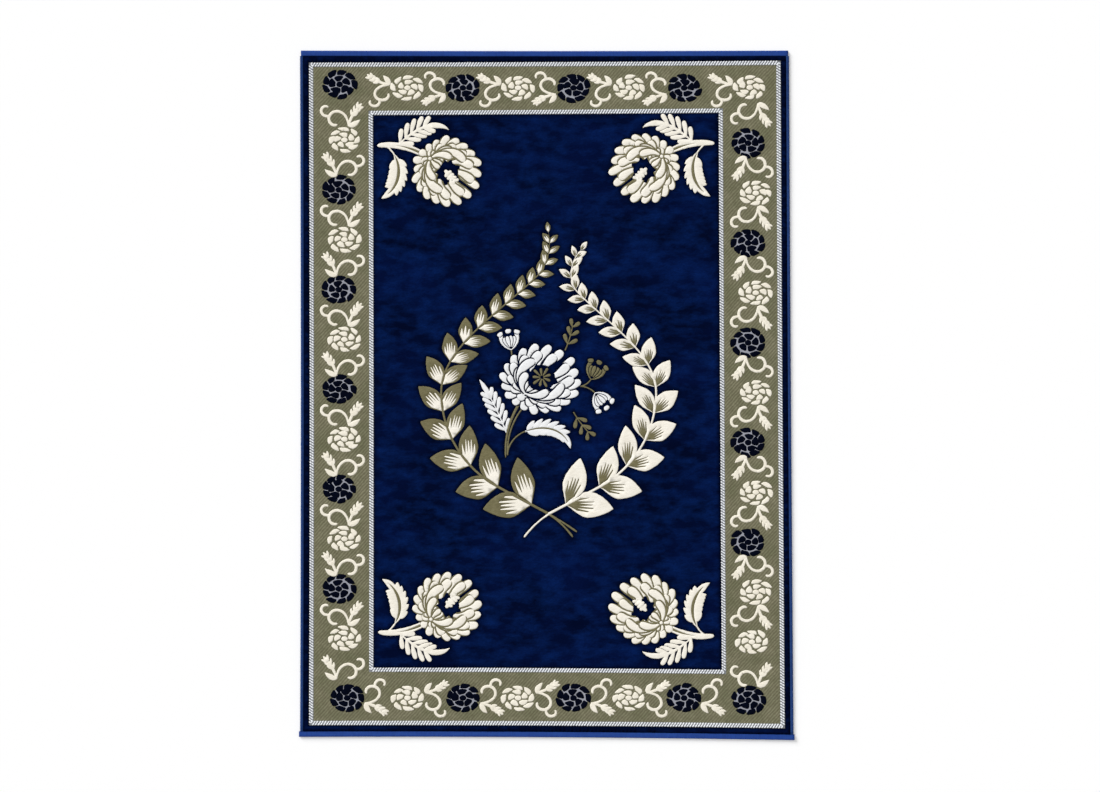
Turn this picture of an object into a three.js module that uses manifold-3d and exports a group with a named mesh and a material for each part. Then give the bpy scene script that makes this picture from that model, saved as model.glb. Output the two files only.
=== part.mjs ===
// A machine-woven floral rug, 5 ft by 7 ft, lying flat.
// The cloth is woven in one piece: a cut-pile field and outer band stand above a flat-woven
// border that runs round between them. Its four raw edges are the bare foundation cloth, held
// in the slots of two wide end bindings and two narrow side sergings.
// Millimetres, +Z up, +Y along the rug, with the origin on the floor under the rug's middle.
import * as THREE from "three";
import { mergeVertices } from "three/addons/utils/BufferGeometryUtils.js";
import Module from "manifold-3d";

const wasm = await Module();
wasm.setup();

// Driving sizes
const RUG_WIDTH = 1524;
const RUG_LENGTH = 2134;
const PILE_TOP = 9;
const FLAT_WEAVE_TOP = 6;
const FOUNDATION = { low: 1.7, high: 4.3 };
const CLEARANCE = 0.3;

// Strip sections: how far each reaches in from the rug's edge, how high its outer bead stands,
// and how high its inner side is.
const SIDE_SERGING = { width: 9.5, crest: 8.4, shoulder: 7.8 };
const END_BINDING = { width: 17, crest: 8.6, shoulder: 7.8 };
const SLOT_DEPTH_LEFT = 3;
const LIP_INSET = 3.4;
const BEAD_STEPS = 8;

// How far past the side sergings' outer edges each end binding is folded (below 0 is short of them).
const BINDING_OVERHANG = { top: -3, bottom: 3 };

// The flat-woven border lies between these two rectangles. Rise is how much higher the upper
// line runs at its right end than at its middle.
const BORDER_OUTER = { left: -735, right: 736, bottom: -1031, top: 1033, rise: 3 };
const BORDER_INNER = { left: -535, right: 541, bottom: -851, top: 870, rise: 4 };

// The cloth lies a little out of square: each value is a shift in millimetres at the edge named.
const LAY = {
  leftBow: -2.5,
  rightBow: 1,
  rightLean: -7,
  topBow: 1.6,
  bottomBow: -4,
  bottomLean: -5,
};
const STATIONS = 12;

const halfWidth = RUG_WIDTH / 2;
const halfLength = RUG_LENGTH / 2;

// Moves a point of the true rectangle to where the cloth lies on the floor.
function laid(x, y) {
  const across = x / halfWidth;
  const along = y / halfLength;
  const right = (1 + across) / 2;
  const upper = (1 + along) / 2;
  const dx = right * (LAY.rightBow * along ** 2 + LAY.rightLean * along) + (1 - right) * LAY.leftBow * along ** 2;
  const dy =
    upper * LAY.topBow * across ** 2 +
    (1 - upper) * (LAY.bottomBow * across ** 2 + LAY.bottomLean * across);
  return [x + dx, y + dy];
}

// The points of one straight run of cloth, both ends included, where it lies on the floor.
function run([x0, y0], [x1, y1]) {
  const points = [];
  for (let i = 0; i <= STATIONS; i++) {
    const t = i / STATIONS;
    points.push(laid(x0 + (x1 - x0) * t, y0 + (y1 - y0) * t));
  }
  return points;
}

// A rectangle of cloth, anticlockwise, as a closed shape on the floor.
function rectangle({ left, right, bottom, top, rise = 0 }) {
  const corners = [
    [left, bottom],
    [right, bottom],
    [right, top + rise],
    [left, top - rise],
  ];
  const points = corners.flatMap((corner, i) => run(corner, corners[(i + 1) % 4]).slice(0, -1));
  return new THREE.Shape(points.map(([x, y]) => new THREE.Vector2(x, y)));
}

// The rug's own outline, taken in from its edges.
function inset(side, end) {
  return rectangle({
    left: side - halfWidth,
    right: halfWidth - side,
    bottom: end - halfLength,
    top: halfLength - end,
  });
}

// A slab of cloth between two heights.
function slab(shape, low, high) {
  const geometry = new THREE.ExtrudeGeometry(shape, { depth: high - low, bevelEnabled: false });
  return geometry.translate(0, 0, low);
}

function toManifold(geometry) {
  const bare = geometry.clone().deleteAttribute("normal").deleteAttribute("uv");
  const merged = mergeVertices(bare, 1e-4);
  return new wasm.Manifold(
    new wasm.Mesh({
      numProp: 3,
      vertProperties: merged.attributes.position.array,
      triVerts: new Uint32Array(merged.index.array),
    }),
  );
}

function toGeometry(solid) {
  const { vertProperties, triVerts } = solid.getMesh();
  const geometry = new THREE.BufferGeometry()
    .setAttribute("position", new THREE.BufferAttribute(vertProperties, 3))
    .setIndex(new THREE.BufferAttribute(triVerts, 1));
  geometry.computeVertexNormals();
  return geometry;
}

// The woven cloth: foundation sheet, pile standing on it, and the border sunk between.
function clothGeometry() {
  const foundation = toManifold(
    slab(inset(LIP_INSET, LIP_INSET), FOUNDATION.low, FOUNDATION.high),
  );
  const pile = toManifold(
    slab(inset(SIDE_SERGING.width + CLEARANCE, END_BINDING.width + CLEARANCE), 0, PILE_TOP),
  );
  const borderRing = rectangle(BORDER_OUTER);
  borderRing.holes.push(rectangle(BORDER_INNER));
  const sunk = toManifold(slab(borderRing, FLAT_WEAVE_TOP, PILE_TOP + 1));
  return toGeometry(foundation.add(pile).subtract(sunk));
}

// The section of a strip folded round the cloth's raw edge: x runs in from the rug's edge, y is
// up. Its outer side is a round bead and its inner side is open, with the foundation in the slot.
function stripSection({ width, crest, shoulder }) {
  const radius = crest / 2;
  const slotLow = FOUNDATION.low - CLEARANCE;
  const slotHigh = FOUNDATION.high + CLEARANCE;
  const points = [
    [width, 0],
    [width, slotLow],
    [SLOT_DEPTH_LEFT, slotLow],
    [SLOT_DEPTH_LEFT, slotHigh],
    [width, slotHigh],
    [width, shoulder],
  ];
  for (let i = 0; i <= BEAD_STEPS; i++) {
    const angle = Math.PI / 2 + (Math.PI * i) / BEAD_STEPS;
    points.push([radius + radius * Math.cos(angle), radius + radius * Math.sin(angle)]);
  }
  return new THREE.Shape(points.map(([x, y]) => new THREE.Vector2(x, y)));
}

// A strip along one edge of the rug. place(inwards, along) gives the point of the true rectangle
// that lies so far in from the edge and so far along it.
function stripGeometry(section, from, to, place) {
  const geometry = new THREE.ExtrudeGeometry(stripSection(section), {
    depth: to - from,
    steps: STATIONS,
    bevelEnabled: false,
  });
  const position = geometry.attributes.position;
  for (let i = 0; i < position.count; i++) {
    const [x, y] = laid(...place(position.getX(i), from + position.getZ(i)));
    position.setXYZ(i, x, y, position.getY(i));
  }
  geometry.computeVertexNormals();
  return geometry;
}

function fabric(color, roughness) {
  return new THREE.MeshStandardMaterial({ color, roughness, metalness: 0 });
}

const clothMaterial = fabric(0x06143f, 0.95);
const bindingMaterial = fabric(0x24407f, 0.6);
const sergingMaterial = fabric(0x223a68, 0.7);

const rug = new THREE.Group();

function addPiece(name, geometry, material) {
  const mesh = new THREE.Mesh(geometry, material);
  mesh.name = name;
  rug.add(mesh);
}

addPiece("woven_cloth", clothGeometry(), clothMaterial);

// Along runs anticlockwise round the rug in every row, so that each strip's faces point out.
const endReach = (overhang) => halfWidth + overhang;
const sideReach = halfLength - END_BINDING.width - CLEARANCE;
const strips = [
  {
    name: "end_binding_bottom",
    section: END_BINDING,
    reach: endReach(BINDING_OVERHANG.bottom),
    place: (inwards, along) => [along, inwards - halfLength],
    material: bindingMaterial,
  },
  {
    name: "end_binding_top",
    section: END_BINDING,
    reach: endReach(BINDING_OVERHANG.top),
    place: (inwards, along) => [-along, halfLength - inwards],
    material: bindingMaterial,
  },
  {
    name: "side_serging_right",
    section: SIDE_SERGING,
    reach: sideReach,
    place: (inwards, along) => [halfWidth - inwards, along],
    material: sergingMaterial,
  },
  {
    name: "side_serging_left",
    section: SIDE_SERGING,
    reach: sideReach,
    place: (inwards, along) => [inwards - halfWidth, -along],
    material: sergingMaterial,
  },
];
for (const { name, section, reach, place, material } of strips) {
  addPiece(name, stripGeometry(section, -reach, reach, place), material);
}

// The cloth is not quite square, so the origin goes to the middle of its box as it lies.
const middle = new THREE.Box3().setFromObject(rug).getCenter(new THREE.Vector3());
rug.position.set(-middle.x, -middle.y, 0);

export default rug;
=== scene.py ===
"""The looks of a machine-woven floral rug, 5 ft by 7 ft, lying flat on a pale floor.

The weaver's chart comes first. Every shape of the design is an outline in millimetres on the
floor, and later shapes lie over earlier ones. The plane is then cut along all the outlines, and
each part of the rug gets one closed pad for each of its yarns, standing on the ground cloth. The
twisted fillets, the overcast sides and the bound ends go on last.
"""

import logging
import math
from collections.abc import Callable, Sequence
from dataclasses import dataclass, field
from enum import Enum
from functools import partial
from typing import NamedTuple

import bpy
import numpy as np
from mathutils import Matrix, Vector, geometry, kdtree


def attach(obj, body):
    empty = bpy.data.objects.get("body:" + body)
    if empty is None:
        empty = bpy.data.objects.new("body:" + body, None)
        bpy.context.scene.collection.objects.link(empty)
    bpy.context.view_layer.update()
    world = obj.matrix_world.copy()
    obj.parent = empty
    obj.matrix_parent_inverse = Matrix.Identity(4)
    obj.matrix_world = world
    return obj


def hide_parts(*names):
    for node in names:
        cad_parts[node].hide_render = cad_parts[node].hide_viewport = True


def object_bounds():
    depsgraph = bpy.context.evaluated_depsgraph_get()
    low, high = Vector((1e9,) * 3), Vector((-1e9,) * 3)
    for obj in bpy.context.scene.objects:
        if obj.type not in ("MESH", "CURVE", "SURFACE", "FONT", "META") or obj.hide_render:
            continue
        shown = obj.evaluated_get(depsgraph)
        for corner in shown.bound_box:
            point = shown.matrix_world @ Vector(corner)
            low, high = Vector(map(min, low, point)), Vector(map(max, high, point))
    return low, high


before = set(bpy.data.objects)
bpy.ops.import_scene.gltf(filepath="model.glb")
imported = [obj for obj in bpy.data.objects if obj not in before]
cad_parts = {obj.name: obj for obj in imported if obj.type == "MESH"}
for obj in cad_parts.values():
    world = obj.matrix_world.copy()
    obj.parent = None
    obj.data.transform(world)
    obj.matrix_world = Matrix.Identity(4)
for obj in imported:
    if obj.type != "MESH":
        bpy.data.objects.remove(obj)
CAD_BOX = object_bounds()

MM = 0.001
BODY = "root"
log = logging.getLogger("rug")

Profile = Callable[[np.ndarray], np.ndarray]


# ---------------- lines and outlines


class Path:
    """A smooth line through a few points, walked by its share of length."""

    STEPS = 10

    def __init__(self, points: Sequence[complex]) -> None:
        """Lays the line.

        Args:
            points: The points it runs through, as x + y j in millimetres.
        """
        knots = np.asarray(points, complex)
        ends = ([2 * knots[0] - knots[1]], knots, [2 * knots[-1] - knots[-2]])
        padded = np.concatenate(ends)
        a, b, c, d = (padded[i : len(padded) - 3 + i] for i in range(4))
        t = np.linspace(0, 1, self.STEPS, endpoint=False)[:, None]
        bends = (2 * a - 5 * b + 4 * c - d) * t**2 + (3 * b - a - 3 * c + d) * t**3
        samples = 0.5 * (2 * b + (c - a) * t + bends)
        self.samples = np.append(samples.T.ravel(), knots[-1])
        self.walked = np.concatenate([[0], np.cumsum(np.abs(np.diff(self.samples)))])
        self.length = float(self.walked[-1])

    def at(self, share: np.ndarray | float) -> np.ndarray:
        """The points at these shares of the length.

        Args:
            share: The shares, from 0 to 1.

        Returns:
            The points.
        """
        walked = np.asarray(share, float) * self.length
        x = np.interp(walked, self.walked, self.samples.real)
        return x + 1j * np.interp(walked, self.walked, self.samples.imag)

    def heading(self, share: np.ndarray | float) -> np.ndarray:
        """The unit directions at these shares of the length.

        Args:
            share: The shares, from 0 to 1.

        Returns:
            The directions.
        """
        near = 0.5 / max(self.length, 1)
        share = np.clip(share, 0, 1)
        step = self.at(np.minimum(share + near, 1)) - self.at(np.maximum(share - near, 0))
        return step / np.abs(step)


def bowed(start: complex, end: complex, bulge: float) -> Path:
    """A line from start to end whose middle bulges to its left by a number of millimetres."""
    left = 1j * (end - start) / abs(end - start)
    return Path([start, (start + end) / 2 + left * bulge, end])


def stroke(path: Path, width: Profile, step: float = 4.0) -> np.ndarray:
    """The outline of a brush stroke along a path.

    Args:
        path: The middle line of the stroke.
        width: The full width at each share of the length.
        step: The rough distance between outline points, in millimetres.

    Returns:
        The outline's points, anticlockwise.
    """
    count = max(6, round(path.length / step))
    share = (1 - np.cos(np.linspace(0, math.pi, count + 1))) / 2
    middle = path.at(share)
    out = 1j * path.heading(share) * width(share) / 2
    return np.concatenate([middle - out, (middle + out)[::-1]])


def round_ended(width: float, fullness: float = 4.0) -> Profile:
    """A dash with round ends: the fuller, the more it keeps its width."""
    return lambda t: width * np.sqrt(np.maximum(1 - np.abs(2 * t - 1) ** fullness, 0))


def tapered(start: float, end: float, tip: float = 12.0) -> Profile:
    """A line whose width runs from start to end, with a rounded tip."""
    return lambda t: (start + (end - start) * t) * np.sqrt(np.maximum(1 - t**tip, 0))


def swelling(start: float, middle: float, end: float) -> Profile:
    """A line that is widest at its middle, with round ends.

    Args:
        start: The width at the start, in millimetres.
        middle: The width at the middle.
        end: The width at the end.

    Returns:
        The profile.
    """
    rounding = round_ended(1.0, 14.0)
    return lambda t: rounding(t) * (
        start + (end - start) * t + (middle - (start + end) / 2) * np.sin(math.pi * t)
    )


def leaf_shaped(width: float, low: float = 0.8, point: float = 0.9) -> Profile:
    """A leaf with a pointed tip: the lower low is, the nearer its belly is to the stem."""
    return lambda t: width * np.maximum(np.sin(math.pi * t**low), 0) ** point


def laurel_shaped(width: float, belly: float = 0.46) -> Profile:
    """A laurel leaf: a wedge-shaped base, a full belly and a sharp tip.

    Args:
        width: Its full width where it is widest, in millimetres.
        belly: The share of the length at which it is widest.

    Returns:
        The profile.
    """

    def profile(t: np.ndarray) -> np.ndarray:
        """The width at these shares of the length.

        Args:
            t: The shares, from 0 to 1.

        Returns:
            The full widths, in millimetres.
        """
        rise = np.sin(math.pi / 2 * np.minimum(t / belly, 1)) ** 1.25
        fall = np.cos(math.pi / 2 * np.maximum(t - belly, 0) / (1 - belly))
        return width * rise * np.maximum(fall, 0) ** 0.85

    return profile


def petal_shaped(width: float, base: float = 0.3, belly: float = 0.74) -> Profile:
    """A petal with a narrow base and a round tip, widest at belly.

    Args:
        width: Its full width where it is widest, in millimetres.
        base: The share of the width that it has at its base.
        belly: The share of the length at which it is widest.

    Returns:
        The profile.
    """

    def profile(t: np.ndarray) -> np.ndarray:
        """The width at these shares of the length.

        Args:
            t: The shares, from 0 to 1.

        Returns:
            The full widths, in millimetres.
        """
        rise = np.minimum(t / belly, 1)
        rise = rise * rise * (3 - 2 * rise)
        start = np.sqrt(np.minimum(t / 0.12, 1)) if base > 0.5 else 1.0
        return width * (base + (1 - base) * rise) * start * np.sqrt(np.maximum(1 - t**11, 0))

    return profile


def grown(profile: Profile, gap: float, fade: float = 0.0) -> Profile:
    """A profile made wider by a gap on each side, which may fade out towards the tip."""
    return lambda t: profile(t) + 2 * gap * (1 - fade * t**3)


@dataclass(frozen=True)
class Placement:
    """Where and how a motif drawn in its own millimetres lies on the floor."""

    origin: complex = 0j
    turn: complex = 1 + 0j
    across: float = 1.0
    along: float = 1.0

    def put(self, points: Sequence[complex] | complex) -> np.ndarray:
        """The floor points of a motif's own points."""
        own = np.asarray(points, complex)
        return self.origin + self.turn * (self.across * own.real + 1j * self.along * own.imag)

    def path(self, points: Sequence[complex]) -> Path:
        """A smooth path through a motif's own points."""
        return Path(self.put(points))


# ---------------- the weaver's chart


class Yarn(Enum):
    """What the weaver brings to the top at one spot of the cloth."""

    NAVY = "navy_pile"
    BED = "fillet_bed"
    WEAVE = "olive_weave"
    BORDER_CREAM = "cream_yarn"
    INK = "ink_pile"
    LINE = "grey_line"
    CREAM = "cream_pile"
    OLIVE = "olive_pile"
    SILVER = "silver_pile"


@dataclass(frozen=True)
class Relief:
    """How high one yarn stands on the floor: at its edges, inside, and how far in it gets there."""

    rim: float
    top: float
    shoulder: float
    slot: str
    soft: bool = True


RELIEFS = {
    Yarn.NAVY: Relief(7.7, 9.0, 3.5, "pile"),
    Yarn.BED: Relief(5.6, 5.6, 0.0, "fillet_yarn", soft=False),
    Yarn.WEAVE: Relief(5.8, 6.0, 3.0, "olive_weave", soft=False),
    Yarn.BORDER_CREAM: Relief(6.2, 6.7, 2.2, "cream_yarn"),
    Yarn.INK: Relief(6.2, 7.4, 3.0, "ink_yarn"),
    Yarn.LINE: Relief(6.0, 6.0, 0.0, "silver_yarn", soft=False),
    Yarn.CREAM: Relief(8.0, 8.6, 2.2, "cream_yarn"),
    Yarn.OLIVE: Relief(7.9, 8.4, 2.2, "olive_yarn"),
    Yarn.SILVER: Relief(8.0, 8.6, 2.2, "silver_yarn"),
}


class Shape(NamedTuple):
    """One outline of the chart, the part of the rug it belongs to, and its yarn."""

    outline: np.ndarray
    zone: str
    yarn: Yarn


@dataclass
class Chart:
    """The whole design in painter's order. Edges waver a little, as they do from knot to knot."""

    waver: float = 0.45
    coarse: float = 3.5
    seed: int = 11
    shapes: list[Shape] = field(default_factory=list)

    def __post_init__(self) -> None:
        """Starts the seeded wavering."""
        self.random = np.random.default_rng(self.seed)

    def paint(self, zone: str, yarn: Yarn, outline: np.ndarray, waver: float | None = None) -> None:
        """Adds one shape over all the earlier ones.

        Args:
            zone: The part of the rug it belongs to.
            yarn: Its yarn.
            outline: Its points, anticlockwise, on the floor in millimetres.
            waver: How far its edge wavers, where that isn't the chart's own value.
        """
        apart = np.abs(outline - np.roll(outline, 1))
        outline = outline[apart > 0.05]
        apart = np.abs(outline - np.roll(outline, 1))
        room = np.minimum(np.minimum(apart, np.roll(apart, -1)) / self.coarse, 1)
        shift = self.random.uniform(-1, 1, len(outline)) + 1j * self.random.uniform(-1, 1, len(outline))
        amount = self.waver if waver is None else waver
        self.shapes.append(Shape(outline + shift * room * amount, zone, yarn))


# ---------------- the cloth as it lies


@dataclass(frozen=True)
class LoomRectangle:
    """Four straight loom lines. Rise lifts the upper line's right end and drops its left one."""

    left: float
    right: float
    bottom: float
    top: float
    rise: float = 0.0

    def grown(self, by: float) -> "LoomRectangle":
        """The rectangle with every line moved outwards.

        Args:
            by: How far, in millimetres.

        Returns:
            The larger rectangle.
        """
        return LoomRectangle(
            self.left - by, self.right + by, self.bottom - by, self.top + by, self.rise
        )

    def corners(self) -> list[complex]:
        """The corners, anticlockwise from the lower left.

        Returns:
            The four corners.
        """
        return [
            complex(self.left, self.bottom),
            complex(self.right, self.bottom),
            complex(self.right, self.top + self.rise),
            complex(self.left, self.top - self.rise),
        ]

    def sides(self, step: float) -> list[np.ndarray]:
        """The four sides as loom points about a step apart, both ends included.

        Args:
            step: The rough distance between points, in millimetres.

        Returns:
            The points of each side.
        """
        corners = self.corners()
        found = []
        for start, end in zip(corners, corners[1:] + corners[:1]):
            count = max(2, round(abs(end - start) / step))
            found.append(start + (end - start) * np.linspace(0, 1, count + 1))
        return found


@dataclass
class Lay:
    """How far the cloth lies out of square: millimetres of shift at the edge named."""

    half_width: float = 762.0
    half_length: float = 1067.0
    end_binding: float = 17.0
    side_serging: float = 9.5
    top_overhang: float = -3.0
    bottom_overhang: float = 3.0
    clearance: float = 0.3
    left_bow: float = -2.5
    right_bow: float = 1.0
    right_lean: float = -7.0
    top_bow: float = 1.6
    bottom_bow: float = -4.0
    bottom_lean: float = -5.0
    middle: complex = 0j

    def __post_init__(self) -> None:
        """Puts the origin where the frame has it, at the middle of the rug's box."""
        framed = [(low + high) / 2 / MM for low, high in zip(*CAD_BOX)]
        reach = np.linspace(-1, 1, 201)
        lower = (self.half_width + self.bottom_overhang) * reach - 1j * self.half_length
        upper = (self.half_width + self.top_overhang) * reach + 1j * self.half_length
        side = (self.half_length - self.end_binding - self.clearance) * reach * 1j
        edges = [lower, upper, side - self.half_width, side + self.half_width]
        around = self.floor(np.concatenate(edges))
        x = (around.real.min() + around.real.max()) / 2
        y = (around.imag.min() + around.imag.max()) / 2
        self.middle = complex(x - framed[0], y - framed[1])

    def floor(self, loom: np.ndarray) -> np.ndarray:
        """The floor points of points of the true rectangle.

        Args:
            loom: Points of the true rectangle.

        Returns:
            The same points on the floor.
        """
        loom = np.asarray(loom, complex)
        across = loom.real / self.half_width
        along = loom.imag / self.half_length
        right = (1 + across) / 2
        upper = (1 + along) / 2
        dx = right * (self.right_bow * along**2 + self.right_lean * along)
        dx = dx + (1 - right) * self.left_bow * along**2
        dy = upper * self.top_bow * across**2
        dy = dy + (1 - upper) * (self.bottom_bow * across**2 + self.bottom_lean * across)
        return loom + dx + 1j * dy - self.middle

    def outline(self, rectangle: LoomRectangle, step: float = 12.0) -> np.ndarray:
        """A loom rectangle's outline on the floor."""
        return self.floor(np.concatenate([side[:-1] for side in rectangle.sides(step)]))

    def pile(self) -> LoomRectangle:
        """The cloth between the edge strips.

        Returns:
            The rectangle that the pile covers.
        """
        side = self.half_width - self.side_serging - self.clearance
        end = self.half_length - self.end_binding - self.clearance
        return LoomRectangle(-side, side, -end, end)


@dataclass
class Bands:
    """The plain bands of the cloth: outer pile, border between two fillets, and field."""

    lay: Lay
    border_outer: LoomRectangle = LoomRectangle(-735, 736, -1031, 1033, 3)
    border_inner: LoomRectangle = LoomRectangle(-535, 541, -851, 870, 4)
    fillet: float = 14.3

    def paint(self, chart: Chart) -> None:
        """Paints the bands, from the outside in.

        Args:
            chart: The chart.
        """
        inner_line = self.border_inner.grown(self.fillet)
        rows = [
            ("outer_band", Yarn.NAVY, self.lay.pile()),
            ("outer_fillet", Yarn.BED, self.border_outer),
            ("border_bottom", Yarn.WEAVE, self.border_outer.grown(-self.fillet)),
            ("inner_fillet", Yarn.BED, inner_line),
            ("field", Yarn.NAVY, self.border_inner),
        ]
        for zone, yarn, rectangle in rows:
            chart.paint(zone, yarn, self.lay.outline(rectangle), waver=0.15)
            if yarn is Yarn.WEAVE:
                self.split_border(chart, rectangle, inner_line)

    def split_border(self, chart: Chart, outer: LoomRectangle, inner: LoomRectangle) -> None:
        """Mitres the border weave, so that each side is its own part of the rug.

        Args:
            chart: The chart.
            outer: The border's outer line.
            inner: The border's inner line.
        """
        outside = outer.corners()
        inside = inner.corners()
        names = ("border_bottom", "border_right", "border_top", "border_left")
        for i, name in enumerate(names[1:], 1):
            j = (i + 1) % 4
            ring = [outside[i], outside[j], inside[j], inside[i]]
            lines = [
                a + (b - a) * np.linspace(0, 1, max(2, round(abs(b - a) / 12)), endpoint=False)
                for a, b in zip(ring, ring[1:] + ring[:1])
            ]
            chart.paint(name, Yarn.WEAVE, self.lay.floor(np.concatenate(lines)), waver=0)

    def fillet_line(self, rectangle: LoomRectangle, outwards: bool, step: float) -> list[np.ndarray]:
        """The middle line of one fillet, a side at a time, on the floor."""
        half = self.fillet / 2 if outwards else -self.fillet / 2
        return [self.lay.floor(side) for side in rectangle.grown(half).sides(step)]


# ---------------- lines grown by rule


def curl(start: complex, heading: float, length: float, turn: float, late: float = 1.0) -> np.ndarray:
    """The points of a line that turns as it runs.

    Args:
        start: Where it starts.
        heading: The way it sets out, in degrees anticlockwise from +X.
        length: Its length in millimetres.
        turn: How far it turns to the left in all, in degrees.
        late: 1 to turn evenly, more to turn mostly near its end.

    Returns:
        Its points, evenly spaced.
    """
    headings = np.radians(heading + turn * np.linspace(0, 1, 13) ** late)
    steps = np.exp(1j * (headings[1:] + headings[:-1]) / 2)
    return start + np.concatenate([[0], np.cumsum(steps)]) * length / 12


def disc(middle: complex, radius: float, points: int = 24) -> np.ndarray:
    """A circle's points."""
    return middle + radius * np.exp(2j * math.pi * np.arange(points) / points)


# ---------------- border motifs


class Ring(NamedTuple):
    """One ring of a blossom's petals: how many, and its radius and depth as shares."""

    count: int
    radius: float
    depth: float
    turned: float


@dataclass(frozen=True)
class BorderBlossom:
    """A round blossom of plump petals: rings of cells about a heart, cut apart by thin gaps."""

    half_width: float = 52.0
    half_height: float = 39.5
    inked: bool = False
    gap: float = 5.4
    heart: float = 0.2
    rings: tuple[Ring, ...] = (Ring(5, 0.44, 0.38, 22), Ring(8, 0.83, 0.32, 0))
    swirl: float = 0.8
    roundness: float = 0.55
    unevenness: float = 0.08
    net: float = 0.84

    def paint(self, chart: Chart, zone: str, place: Placement) -> None:
        """Paints the blossom. The placement's scale only hands it.

        Args:
            chart: The chart.
            zone: The part of the rug it belongs to.
            place: Where its motif lies.
        """
        own = Placement(
            place.origin, place.turn, place.across * self.half_width, place.along * self.half_height
        )
        yarn = Yarn.INK if self.inked else Yarn.BORDER_CREAM
        if self.inked:
            chart.paint(zone, Yarn.LINE, own.put(disc(0j, self.net, 40)))
        chart.paint(zone, yarn, own.put(disc(0j, self.heart, 14)))
        for ring in self.rings:
            for index in range(ring.count):
                middle = math.radians(ring.turned) + 2 * math.pi * index / ring.count
                vary = 1 + self.unevenness * chart.random.uniform(-1, 1, 3)
                chart.paint(zone, yarn, own.put(self.cell(ring, middle, vary)))

    def cell(self, ring: Ring, middle: float, vary: np.ndarray) -> np.ndarray:
        """One petal of a ring, in shares of the blossom's radius.

        Args:
            ring: Its ring.
            middle: The way its middle faces, in radians.
            vary: Factors for its radius, its span and its depth.

        Returns:
            Its outline: a round-cornered patch that follows the ring and leans with the swirl.
        """
        around = np.linspace(0, 2 * math.pi, 21)[:-1]
        gap = self.gap / (self.half_width + self.half_height)
        span = math.pi / ring.count - gap / ring.radius
        ahead = np.sign(np.cos(around)) * np.abs(np.cos(around)) ** self.roundness
        out = np.sign(np.sin(around)) * np.abs(np.sin(around)) ** self.roundness
        radius = ring.radius * vary[0] + out * ring.depth / 2 * vary[2]
        angle = middle + span * vary[1] * ahead + self.swirl * (radius - ring.radius)
        return (radius * np.exp(1j * angle))[::-1]


@dataclass(frozen=True)
class BorderScroll:
    """A scroll that grows from a blossom: a curl, its hook, a small leaf and a palmette."""

    foot: complex = -19 - 1j
    curl_length: float = 142.0
    curl_heading: float = 85.0
    curl_turn: float = -290.0
    hook_length: float = 66.0
    hook_heading: float = -12.0
    hook_turn: float = 235.0
    stalk_length: float = 68.0
    stalk_heading: float = 100.0
    stalk_turn: float = 34.0
    blade_length: float = 22.0
    blade_lean: float = 46.0
    leaf_length: float = 43.0
    leaf_heading: float = 162.0

    def paint(self, chart: Chart, zone: str, place: Placement) -> None:
        """Paints the scroll from its foot.

        Args:
            chart: The chart.
            zone: The part of the rug it belongs to.
            place: Where its motif lies.
        """
        main = curl(self.foot, self.curl_heading, self.curl_length, self.curl_turn, 1.6)
        hook = curl(complex(main[8]), self.hook_heading, self.hook_length, self.hook_turn, 1.3)
        stalk = curl(self.foot, self.stalk_heading, self.stalk_length, self.stalk_turn)
        blade = leaf_shaped(9, 0.9, 0.6)
        rows = [
            (swelling(6, 9, 9), main),
            (swelling(8, 9, 7), hook),
            (tapered(6, 14, 3), stalk),
            (leaf_shaped(17, 0.75), curl(self.foot, self.leaf_heading, self.leaf_length, -26)),
            (leaf_shaped(10, 0.9, 0.6), curl(complex(stalk[-3]), 132, self.blade_length + 6, 0)),
        ]
        for share in (6 / 12, 8.5 / 12, 11 / 12):
            springs = complex(Path(stalk).at(share))
            for side in (1, -1):
                heading = self.stalk_heading + self.stalk_turn * share + side * self.blade_lean
                rows.append((blade, curl(springs, heading, self.blade_length, -side * 26)))
        for width, points in rows:
            chart.paint(zone, Yarn.BORDER_CREAM, stroke(place.path(points), width))


class Growth(Enum):
    """Which way round a blossom's scroll is drawn, if it sends one out."""

    NONE = 0
    PLAIN = 1
    MIRRORED = -1


class Sprout(NamedTuple):
    """One blossom of a side and the scroll it sends out. A shared one is drawn by another side."""

    centre: complex
    inked: bool
    growth: Growth
    shared: bool = False


@dataclass(frozen=True)
class BorderSide:
    """One side of the border: which way its scrolls grow and how wide they may be."""

    zone: str
    ahead: complex
    squeeze: float
    sprouts: tuple[Sprout, ...]
    middle: complex
    stem: float = 43.0

    CREAM = BorderBlossom()
    INKED = BorderBlossom(
        half_width=53.5,
        half_height=45.5,
        inked=True,
        gap=2.4,
        rings=(Ring(5, 0.42, 0.4, 8), Ring(9, 0.82, 0.36, 17)),
        swirl=0.5,
        roundness=0.5,
    )

    def paint(self, chart: Chart) -> None:
        """Paints the side's blossoms, then the scrolls between them.

        Args:
            chart: The chart.
        """
        for index, sprout in enumerate(self.sprouts):
            if sprout.shared:
                continue
            blossom = self.INKED if sprout.inked else self.CREAM
            hand = 1.0 if index % 2 else -1.0
            blossom.paint(chart, self.zone, Placement(sprout.centre, 1 + 0j, hand, 1.0))
        for sprout in self.sprouts:
            if sprout.growth is Growth.NONE:
                continue
            upright = self.ahead.real == 0
            half = self.stem if upright else self.INKED.half_width + 2
            along = ((sprout.centre - self.middle) / self.ahead).real + half
            start = self.middle + self.ahead * along
            across = self.squeeze * sprout.growth.value
            BorderScroll().paint(chart, self.zone, Placement(start, self.ahead / 1j, across, 1.0))


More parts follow.
